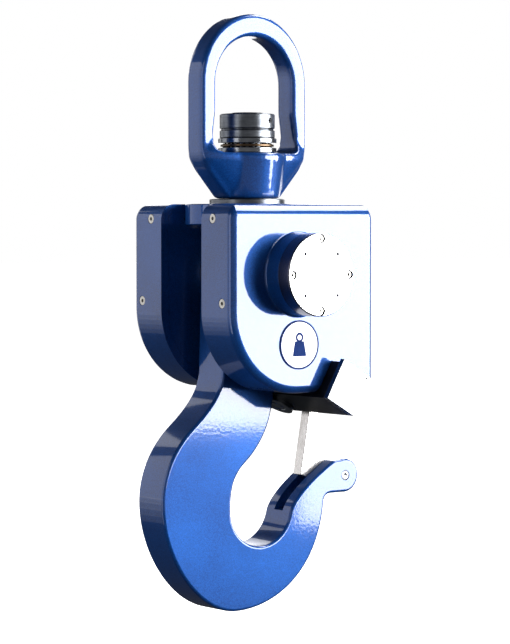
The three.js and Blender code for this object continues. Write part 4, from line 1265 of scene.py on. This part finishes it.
block = piece(
    "magnet_block_bar", plate(block_corners(0, 0, 0, 0), -BLOCK_OUT, BLOCK_OUT, BLOCK_EDGE, BLOCK_EDGE, 3)
)
pocket = rod(MAGNET_RADIUS + FIT, -5, MAGNET_SINK + FIT)
carve(block, piece("magnet_pocket", on_block(pocket)))
dress(block, "housing", black_oxide, ["magnet_block"])

pot = [
    (0, -MAGNET_PROUD),
    (8, -MAGNET_PROUD),
    (8.4, -MAGNET_PROUD + 1),
    (10.6, -MAGNET_PROUD + 1),
    (11, -MAGNET_PROUD),
]
pot += [(MAGNET_RADIUS, -MAGNET_PROUD), (MAGNET_RADIUS, MAGNET_SINK), (0, MAGNET_SINK)]
dress(
    piece("pot_magnet", on_block(turned(soften(pot, 0.4)))),
    "housing",
    ground_steel,
    ["magnet"],
)

for side_name, side in (("near", -1), ("far", 1)):
    end = piece("end", plate(block_corners(0, 0, 0, END_RISE), END_IN, END_OUT, 0, 0.8, 3))
    corner = Vector(block_corners(-4, -4, -4, END_RISE - 4)[2])
    pin = rod(END_PIN, END_OUT - 1.5, END_OUT + 1, "y", tuple(corner), 24)
    carve(end, piece("pin_hole", pin))
    flipped(end, side).name = "block_end_" + side_name
    dress(end, "housing", ground_steel, ["block_end_plate_" + side_name])

# ---- spine, button and charging socket ----
# The spine is a painted steel strip that ties the two cheeks at the right. It carries a moulded rubber-faced
# power button and a threaded charging socket with a dark moulded cover ring.
SPINE_IN = 89.0
SPINE_OUT = 99.0
SPINE_HALF = 41.7
BUTTON_RADIUS = 8.0
BUTTON_Z = 24.0
SOCKET_RADIUS = 11.0
SOCKET_FLANGE = 14.0
SOCKET_Z = -20.0
MOULDED_BLACK = "#191A1C"
MOULDED_GREY = "#2A2C2F"


def moulded_plastic():
    """Glass-filled nylon: spark-eroded moulding texture, about 0.8 mm, on a slightly uneven black."""
    material, tree, coords = new_finish("moulded_black_nylon")
    grain = add_node(tree, "ShaderNodeTexVoronoi", {"Scale": 1 / 0.0008}, {"Vector": coords})
    cloud = add_node(tree, "ShaderNodeTexNoise", {"Scale": 90.0, "Detail": 4.0}, {"Vector": coords})
    colour = add_node(
        tree,
        "ShaderNodeMix",
        {6: linear(MOULDED_BLACK), 7: linear(MOULDED_GREY)},
        {0: cloud.outputs["Fac"]},
        data_type="RGBA",
    )
    rough = add_node(
        tree, "ShaderNodeMapRange", {"To Min": 0.45, "To Max": 0.65}, {"Value": cloud.outputs["Fac"]}
    )
    relief = add_node(
        tree,
        "ShaderNodeBump",
        {"Strength": 0.25, "Distance": 0.0001},
        {"Height": grain.outputs["Distance"]},
    )
    links = {
        "Base Color": colour.outputs[2],
        "Roughness": rough.outputs["Result"],
        "Normal": relief.outputs["Normal"],
    }
    lay_on(tree, {"IOR": 1.53}, links)
    return material


black_nylon = moulded_plastic()
spine_low, spine_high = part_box("spine_plate")
strip = [(SPINE_IN, (spine_low.z - AXLE_Z) / MM), (SPINE_OUT, (spine_low.z - AXLE_Z) / MM)]
strip += [(SPINE_OUT, (spine_high.z - AXLE_Z) / MM), (SPINE_IN, (spine_high.z - AXLE_Z) / MM)]
spine = piece("spine_strip", plate(strip, -SPINE_HALF, SPINE_HALF, 0.8, 0.8, 3))
for radius, z in ((BUTTON_RADIUS + FIT, BUTTON_Z), (SOCKET_RADIUS + FIT, SOCKET_Z)):
    hole = rod(radius, SPINE_IN - 5, SPINE_OUT + 5, "x", (0, z), 64)
    carve(spine, piece("spine_hole", hole))
dress(spine, "housing", blue_enamel, ["spine_plate"])

button_low, button_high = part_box("power_button")
button_in, button_out = button_low.x / MM, button_high.x / MM
button_profile = [
    (0, button_in),
    (BUTTON_RADIUS, button_in),
    (BUTTON_RADIUS, button_out - 1.2),
    (BUTTON_RADIUS - 1.2, button_out),
]
button_profile += [(5.2, button_out), (3.6, button_out - 0.7), (0, button_out - 0.9)]
button = turned(soften(button_profile, 0.6), "x", (0, BUTTON_Z), 64)
dress(piece("power_button_cap", button), "power_button", black_nylon, ["power_button"])

socket_in = SPINE_OUT - 16
socket_face = SPINE_OUT + FIT
socket_profile = [
    (0, socket_in), (SOCKET_RADIUS, socket_in), (SOCKET_RADIUS, socket_face), (SOCKET_FLANGE, socket_face)
]
socket_profile += [
    (SOCKET_FLANGE, socket_face + 2), (6.4, socket_face + 2), (6.4, socket_face - 7), (3.4, socket_face - 7)
]
socket_profile += [(3.4, socket_face - 1), (0, socket_face - 1)]
socket = turned(soften(socket_profile, 0.4), "x", (0, SOCKET_Z), 72)
dress(piece("charging_socket", socket), "housing", black_nylon, ["charge_socket"])

# ---- inner drive and electronics ----
# These stay as the frame has them: painted cheeks, the ground load axle with its bronze bushes, the black
# motor with its gearbox, the hobbed gears, the shrink-wrapped battery and the lacquered control board.
BOARD_GREEN = "#17512C"
BOARD_DEEP = "#0E3A1E"
TRACK_PITCH = 0.0025
AXLE_BRIGHT = "#C2C5C8"
AXLE_SHADE = "#8C9094"
HOBBED_LIGHT = "#83878B"
HOBBED_DARK = "#4A4D50"


def lacquered_board():
    """Solder mask over copper tracks, 2.5 mm apart, which lift and lighten the green lacquer."""
    material, tree, coords = new_finish("solder_mask_board")
    tracks = add_node(
        tree,
        "ShaderNodeTexWave",
        {"Scale": 1 / (TRACK_PITCH * 6.3), "Distortion": 3.0, "Detail": 1.0, "Detail Scale": 0.4},
        {"Vector": coords},
        wave_type="BANDS",
        bands_direction="Z",
    )
    step = add_node(tree, "ShaderNodeValToRGB", links={"Fac": tracks.outputs["Fac"]})
    step.color_ramp.elements[0].position = 0.45
    step.color_ramp.elements[1].position = 0.55
    colour = add_node(
        tree,
        "ShaderNodeMix",
        {6: linear(BOARD_DEEP), 7: linear(BOARD_GREEN)},
        {0: step.outputs["Color"]},
        data_type="RGBA",
    )
    relief = add_node(
        tree, "ShaderNodeBump", {"Strength": 0.3, "Distance": 0.0001}, {"Height": step.outputs["Color"]}
    )
    rough = add_node(
        tree, "ShaderNodeMapRange", {"To Min": 0.3, "To Max": 0.4}, {"Value": tracks.outputs["Fac"]}
    )
    links = {
        "Base Color": colour.outputs[2],
        "Roughness": rough.outputs["Result"],
        "Normal": relief.outputs["Normal"],
    }
    lay_on(tree, {"IOR": 1.5}, links)
    return material


board_lacquer = lacquered_board()
axle_steel = turned_metal("ground_axle_steel", AXLE_SHADE, AXLE_BRIGHT, 0.16, 0.26, 0.0012, (1.0, 0.1, 1.0))
hobbed_steel = turned_metal(
    "hobbed_gear_steel", HOBBED_DARK, HOBBED_LIGHT, 0.28, 0.4, 0.0014, (1.0, 0.2, 1.0)
)
kept_nodes = {
    "cheek_plate_near": blue_enamel,
    "cheek_plate_far": blue_enamel,
    "load_axle": axle_steel,
    "eye_bush": bearing_bronze,
    "hub_bush": bearing_bronze,
    "hub_spacer": axle_steel,
    "hook_gear": hobbed_steel,
    "drive_pinion": hobbed_steel,
    "gearbox": phosphated_steel,
    "motor": black_oxide,
    "battery_pack": black_nylon,
    "control_board": board_lacquer,
}
for name, finish in kept_nodes.items():
    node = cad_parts[name]
    node.data.materials.clear()
    node.data.materials.append(finish)

# ---- hook ----
# The hook is flame-cut from 49 mm alloy plate, machined round its bowl, broken by small rounded edges and
# painted with the housing. Its nose is slotted for the latch, and its hub is bushed with bronze.
HOOK_HALF = 24.5
HOOK_ROUND = 3.5
HUB_RADIUS = 50.0
BUSH_OUTER = 32.3
BOWL_X = 2.5
BOWL_Z = -272.5
BOWL_RADIUS = 44.0
TIP_X = 128.7
TIP_Z = -241.6
TIP_RADIUS = 20.2
SLOT_HALF_WIDTH = 8.0
PIN_RADIUS = 5.7
GEAR_SCREW_CIRCLE = 39.5
GEAR_SCREW_RADIUS = 2.5
GEAR_OUT = 35.8

hook_outline = arc(0, 0, HUB_RADIUS, -0.45, math.pi, 60) + [(-HUB_RADIUS, 0)]
hook_outline += bend([(-53.5, -112), (-53.5, -138), (-79.5, -161), (-97, -175.5)], 16)
hook_outline += bend([(-97, -175.5), (-122.5, -197), (-138.5, -226), (-138.5, -259)], 20)
hook_outline += bend([(-138.5, -259), (-138.5, -323.5), (-86.5, -389.5), (-32, -389.5)], 34)
hook_outline += bend([(-32, -389.5), (27.5, -389.5), (88.5, -351), (96.5, -271)], 34)
hook_outline += bend([(96.5, -271), (97.5, TIP_Z - TIP_RADIUS), (108, TIP_Z - TIP_RADIUS)], 8)
hook_outline += [(108, TIP_Z - TIP_RADIUS)] + arc(TIP_X, TIP_Z, TIP_RADIUS, -math.pi / 2, 0.6 * math.pi, 40)
tip_end = (TIP_X + TIP_RADIUS * math.cos(0.6 * math.pi), TIP_Z + TIP_RADIUS * math.sin(0.6 * math.pi))
hook_outline += bend([tip_end, (116, TIP_Z + TIP_RADIUS - 1), (111, TIP_Z + TIP_RADIUS - 2.2)], 6)
bowl_start = -0.21
bowl_end = math.pi - 0.1 - 2 * math.pi
nose = (BOWL_X + BOWL_RADIUS * math.cos(bowl_start), BOWL_Z + BOWL_RADIUS * math.sin(bowl_start))
throat = (BOWL_X + BOWL_RADIUS * math.cos(bowl_end), BOWL_Z + BOWL_RADIUS * math.sin(bowl_end))
hook_outline += bend([(111, TIP_Z + TIP_RADIUS - 2.2), (86, TIP_Z + 4), (50.5, -262.5), nose], 26)
hook_outline += arc(BOWL_X, BOWL_Z, BOWL_RADIUS, bowl_start, bowl_end, 56)
hook_outline += bend([throat, (-41.3, -228.5), (-22.5, -222.5), (-9, -208)], 20)
hook_outline += bend([(-9, -208), (13.5, -184), (21, -157.5), (22, -125)], 18) + [(22, -125)]

hook = piece("plate_hook", plate(hook_outline, -HOOK_HALF, HOOK_HALF, HOOK_ROUND, HOOK_ROUND, 5))
slot_clear = TIP_RADIUS + 4
slot = [
    (TIP_X + 2 * slot_clear, TIP_Z + 3 * slot_clear), (BOWL_X, TIP_Z + 3 * slot_clear), (BOWL_X, TIP_Z - 38)
]
slot += [(TIP_X - 85, TIP_Z - 38)]
slot += bend([(TIP_X - 85, TIP_Z - 38), (TIP_X - 44, TIP_Z - 36), (TIP_X - 21, TIP_Z - slot_clear)], 14)[1:]
slot += [(TIP_X - 21, TIP_Z - slot_clear), (TIP_X + 2 * slot_clear, TIP_Z - slot_clear)]
carve(hook, piece("latch_slot", plate(slot, -SLOT_HALF_WIDTH, SLOT_HALF_WIDTH)))
for radius, x, z in ((BUSH_OUTER + FIT, 0, 0), (PIN_RADIUS + FIT, TIP_X, TIP_Z)):
    carve(hook, piece("hook_hole", rod(radius, -30, 30, "y", (x, z), 72)))
gear_spots = []
for i in range(3):
    turn = math.pi / 2 + i * 2 * math.pi / 3
    x, z = GEAR_SCREW_CIRCLE * math.cos(turn), GEAR_SCREW_CIRCLE * math.sin(turn)
    gear_spots.append(((x, -GEAR_OUT + 0.3, z), (0, -1, 0)))
    carve(hook, piece("gear_screw_hole", rod(GEAR_SCREW_RADIUS + 0.2, -30, -12, "y", (x, z), 20)))
dress(hook, "hook", blue_enamel, ["hook"])

screw_set(
    "gear_socket_screws",
    gear_spots,
    black_oxide,
    "black_oxide",
    "hook",
    ["gear_screw_%d" % i for i in (1, 2, 3)],
    Head_radius=4.1,
    Neck_radius=4.1,
    Head_height=4.3,
    Rim=0.3,
    Socket_radius=2.2,
    Socket_depth=2.4,
    Shank_radius=2.45,
    Shank_length=17.0,
)

# ---- latch ----
# The latch is cut from 15 mm steel plate and nickel plated. It turns on a ground pin through the hook's nose,
# and a small torsion spring, coiled from drawn wire in a pocket round the pin, holds it shut.
LATCH_HALF = 7.5
LATCH_EYE = 17.0
LATCH_HEAD = -162.6
LATCH_EDGE = 0.8
POCKET_RADIUS = 11.0
POCKET_DEPTH = 6.0
WIRE = 0.7
NICKEL_LIGHT = "#DAD7D3"
NICKEL_SHADE = "#ABA7A3"
WIRE_LIGHT = "#A9ACAF"
WIRE_DARK = "#6B6E71"
nickel_plate = turned_metal(
    "nickel_plated_steel", NICKEL_SHADE, NICKEL_LIGHT, 0.2, 0.3, 0.0015, (1.0, 1.0, 0.25), 0.05
)
drawn_wire = turned_metal("drawn_spring_wire", WIRE_DARK, WIRE_LIGHT, 0.2, 0.3, 0.001)

latch_outline = [(TIP_X - 54.5, TIP_Z + 3)]
latch_back = [(TIP_X - 41, LATCH_HEAD), (TIP_X - 26, LATCH_HEAD - 5), (TIP_X - 22, TIP_Z + 56)]
latch_back += bend([(TIP_X - 22, TIP_Z + 56), (TIP_X - 10, TIP_Z + 59), (TIP_X + 2, TIP_Z + 58)], 8)[1:]
latch_back += bend(
    [(TIP_X + 2, TIP_Z + 58), (TIP_X + 22, TIP_Z + 57), (TIP_X + 35, TIP_Z + 45), (TIP_X + 33, TIP_Z + 28)],
    18,
)
latch_back += bend([(TIP_X + 33, TIP_Z + 28), (TIP_X + 31, TIP_Z + 16), (TIP_X + LATCH_EYE, TIP_Z)], 10)
latch_back += arc(TIP_X, TIP_Z, LATCH_EYE, 0, -math.pi / 2 - 0.35, 24)
heel_turn = -math.pi / 2 - 0.35
heel = (TIP_X + LATCH_EYE * math.cos(heel_turn), TIP_Z + LATCH_EYE * math.sin(heel_turn))
latch_back += bend([heel, (TIP_X - 30, TIP_Z - 8), (TIP_X - 54.5, TIP_Z + 3)], 12)
latch_outline = (latch_outline + latch_back)[::-1]

latch = piece("latch_plate", plate(latch_outline, -LATCH_HALF, LATCH_HALF, LATCH_EDGE, LATCH_EDGE, 3))
tip_centre = (TIP_X, TIP_Z)
for radius, start in ((PIN_RADIUS + FIT, -20), (POCKET_RADIUS, LATCH_HALF - POCKET_DEPTH)):
    carve(latch, piece("latch_hole", rod(radius, start, 20, "y", tip_centre, 64)))
dress(latch, "latch", nickel_plate, ["latch"])

pin_end = HOOK_HALF - 0.4
pin_profile = [
    (0, -pin_end + 1.2), (2.6, -pin_end), (PIN_RADIUS - 0.8, -pin_end), (PIN_RADIUS, -pin_end + 0.8)
]
pin_profile += [
    (PIN_RADIUS, pin_end - 0.8), (PIN_RADIUS - 0.8, pin_end), (2.6, pin_end), (0, pin_end - 1.2)
]
dress(
    piece("latch_pin_ground", turned(soften(pin_profile, 0.3), "y", tip_centre, 64)),
    "hook",
    ground_steel,
    ["latch_pin"],
)

# The spring is a helix of wire that a tree winds at the place of one vertex.
coil_tree, coil_in, coil_keys = scatter_tree(
    "wound spring", {"Turns": 3.0, "Coil radius": 0.0086, "Length": 0.003, "Wire radius": 0.0007}
)
helix = add_node(
    coil_tree,
    "GeometryNodeCurveSpiral",
    {"Resolution": 40},
    {
        "Rotations": coil_in["Turns"],
        "Start Radius": coil_in["Coil radius"],
        "End Radius": coil_in["Coil radius"],
        "Height": coil_in["Length"],
    },
)
wire = add_node(
    coil_tree,
    "GeometryNodeCurvePrimitiveCircle",
    {"Resolution": 14},
    {"Radius": coil_in["Wire radius"]},
    mode="RADIUS",
)
wound = add_node(
    coil_tree,
    "GeometryNodeCurveToMesh",
    {"Fill Caps": True},
    {"Curve": helix.outputs["Curve"], "Profile Curve": wire.outputs["Curve"]},
)
tipped = add_node(
    coil_tree,
    "GeometryNodeTransform",
    {"Rotation": (-math.pi / 2, 0, 0)},
    {"Geometry": wound.outputs["Mesh"]},
)
springs = add_node(
    coil_tree,
    "GeometryNodeInstanceOnPoints",
    links={"Points": coil_in["Geometry"], "Instance": tipped.outputs["Geometry"]},
)
close_tree(coil_tree, coil_in, springs.outputs["Instances"])
start = bmesh.new()
start.verts.new(place(TIP_X, LATCH_HALF - POCKET_DEPTH + WIRE + 0.3, TIP_Z))
spring = grown(
    "latch_torsion_spring",
    start,
    coil_tree,
    coil_keys,
    drawn_wire,
    Turns=2.5,
    Coil_radius=(POCKET_RADIUS - 2.4) * MM,
    Length=(POCKET_DEPTH - 2 * WIRE - 1) * MM,
    Wire_radius=WIRE * MM,
)
dress(spring, "hook", drawn_wire, ["latch_spring"], crease=None)

# ---- studio ----
# A plain white floor and surroundings. Bright soft boxes stand right of the front and overhead; dim panels at
# the left and behind shade the flanks, and one fades out downwards. The camera looks from the left front.
FLOOR_Z = -0.74
TARGET = Vector((0.0115, 0.0, -0.3305))
CAMERA_AWAY = 2.8863
CAMERA_BACK = Vector((-0.6116, -0.7902, 0.0373))
CAMERA_LENS = 138.3


def heading(azimuth, elevation):
    """A direction out from the object: azimuth from the front (-Y) towards +X, in degrees."""
    a, e = math.radians(azimuth), math.radians(elevation)
    return Vector((math.sin(a) * math.cos(e), -math.cos(a) * math.cos(e), math.sin(e)))


def soft_box(name, azimuth, elevation, span, rise, radiance, away=2.4, colour=(1, 1, 1)):
    """A rectangular soft box that covers span by rise degrees as seen from the object."""
    light = bpy.data.lights.new(name, "AREA")
    light.shape = "RECTANGLE"
    light.size = 2 * away * math.tan(math.radians(span / 2))
    light.size_y = 2 * away * math.tan(math.radians(rise / 2))
    light.energy = radiance * math.pi * light.size * light.size_y
    light.color = colour
    made = bpy.data.objects.new(name, light)
    way = heading(azimuth, elevation)
    made.location = TARGET + way * away
    made.rotation_euler = (-way).to_track_quat("-Z", "Y").to_euler()
    bpy.context.scene.collection.objects.link(made)


soft_box("key_box", 44, 7, 52, 26, 19.0, away=5.0)
soft_box("low_key_box", 45, -7.5, 12, 4, 17.0, away=5.0)
soft_box("overhead_box", 78, 52, 44, 14, 14.0)
soft_box("front_fill", -30, 5, 90, 40, 0.3)
soft_box("left_strip", -83, 4, 20, 60, 2.5)
soft_box("back_panel", -125, 11, 54, 36, 1.3, colour=(0.97, 0.97, 1.0))
for elevation, radiance in ((-9.0, 1.0), (-13.0, 0.7), (-17.0, 0.45), (-21.0, 0.25)):
    soft_box("back_panel_fade", -125, elevation, 54, 4.3, radiance)
soft_box("rim_panel", -170, 8, 18, 50, 1.5)
soft_box("back_right_panel", 135, 10, 50, 40, 2.0)

floor_mesh = bmesh.new()
for x, y in ((-30, -30), (30, -30), (30, 30), (-30, 30)):
    floor_mesh.verts.new((x, y, FLOOR_Z))
floor_mesh.faces.new(floor_mesh.verts)
floor = piece("studio_floor", floor_mesh)
floor_paint, floor_nodes, floor_coords = new_finish("white_studio_floor")
cloud = add_node(floor_nodes, "ShaderNodeTexNoise", {"Scale": 0.5}, {"Vector": floor_coords})
pale = add_node(
    floor_nodes, "ShaderNodeMapRange", {"To Min": 0.93, "To Max": 0.95}, {"Value": cloud.outputs["Fac"]}
)
lay_on(
    floor_nodes,
    {"Roughness": 0.9, "Emission Color": (1, 1, 1, 1), "Emission Strength": 1.0},
    {"Base Color": pale.outputs["Result"]},
)
floor.data.materials.append(floor_paint)
floor.visible_glossy = False
floor.visible_diffuse = False
floor.visible_shadow = False

world = bpy.data.worlds.new("studio")
bpy.context.scene.world = world
world.use_nodes = True
sky = world.node_tree
sky.nodes.clear()
seen = add_node(sky, "ShaderNodeLightPath")
around = add_node(sky, "ShaderNodeBackground", {"Color": (0.8, 0.86, 1.0, 1), "Strength": 0.05})
white = add_node(sky, "ShaderNodeBackground", {"Color": (1, 1, 1, 1), "Strength": 1.0})
choice = add_node(
    sky,
    "ShaderNodeMixShader",
    links={0: seen.outputs["Is Camera Ray"], 1: around.outputs[0], 2: white.outputs[0]},
)
add_node(sky, "ShaderNodeOutputWorld", links={"Surface": choice.outputs[0]})

camera = bpy.data.cameras.new("catalogue_camera")
camera.lens = CAMERA_LENS
camera.sensor_width = 36
camera.clip_end = 100
viewer = bpy.data.objects.new("catalogue_camera", camera)
viewer.location = TARGET + CAMERA_BACK.normalized() * CAMERA_AWAY
viewer.rotation_euler = (-CAMERA_BACK).to_track_quat("-Z", "Y").to_euler()
bpy.context.scene.collection.objects.link(viewer)
bpy.context.scene.camera = viewer
bpy.context.scene.view_settings.view_transform = "Standard"
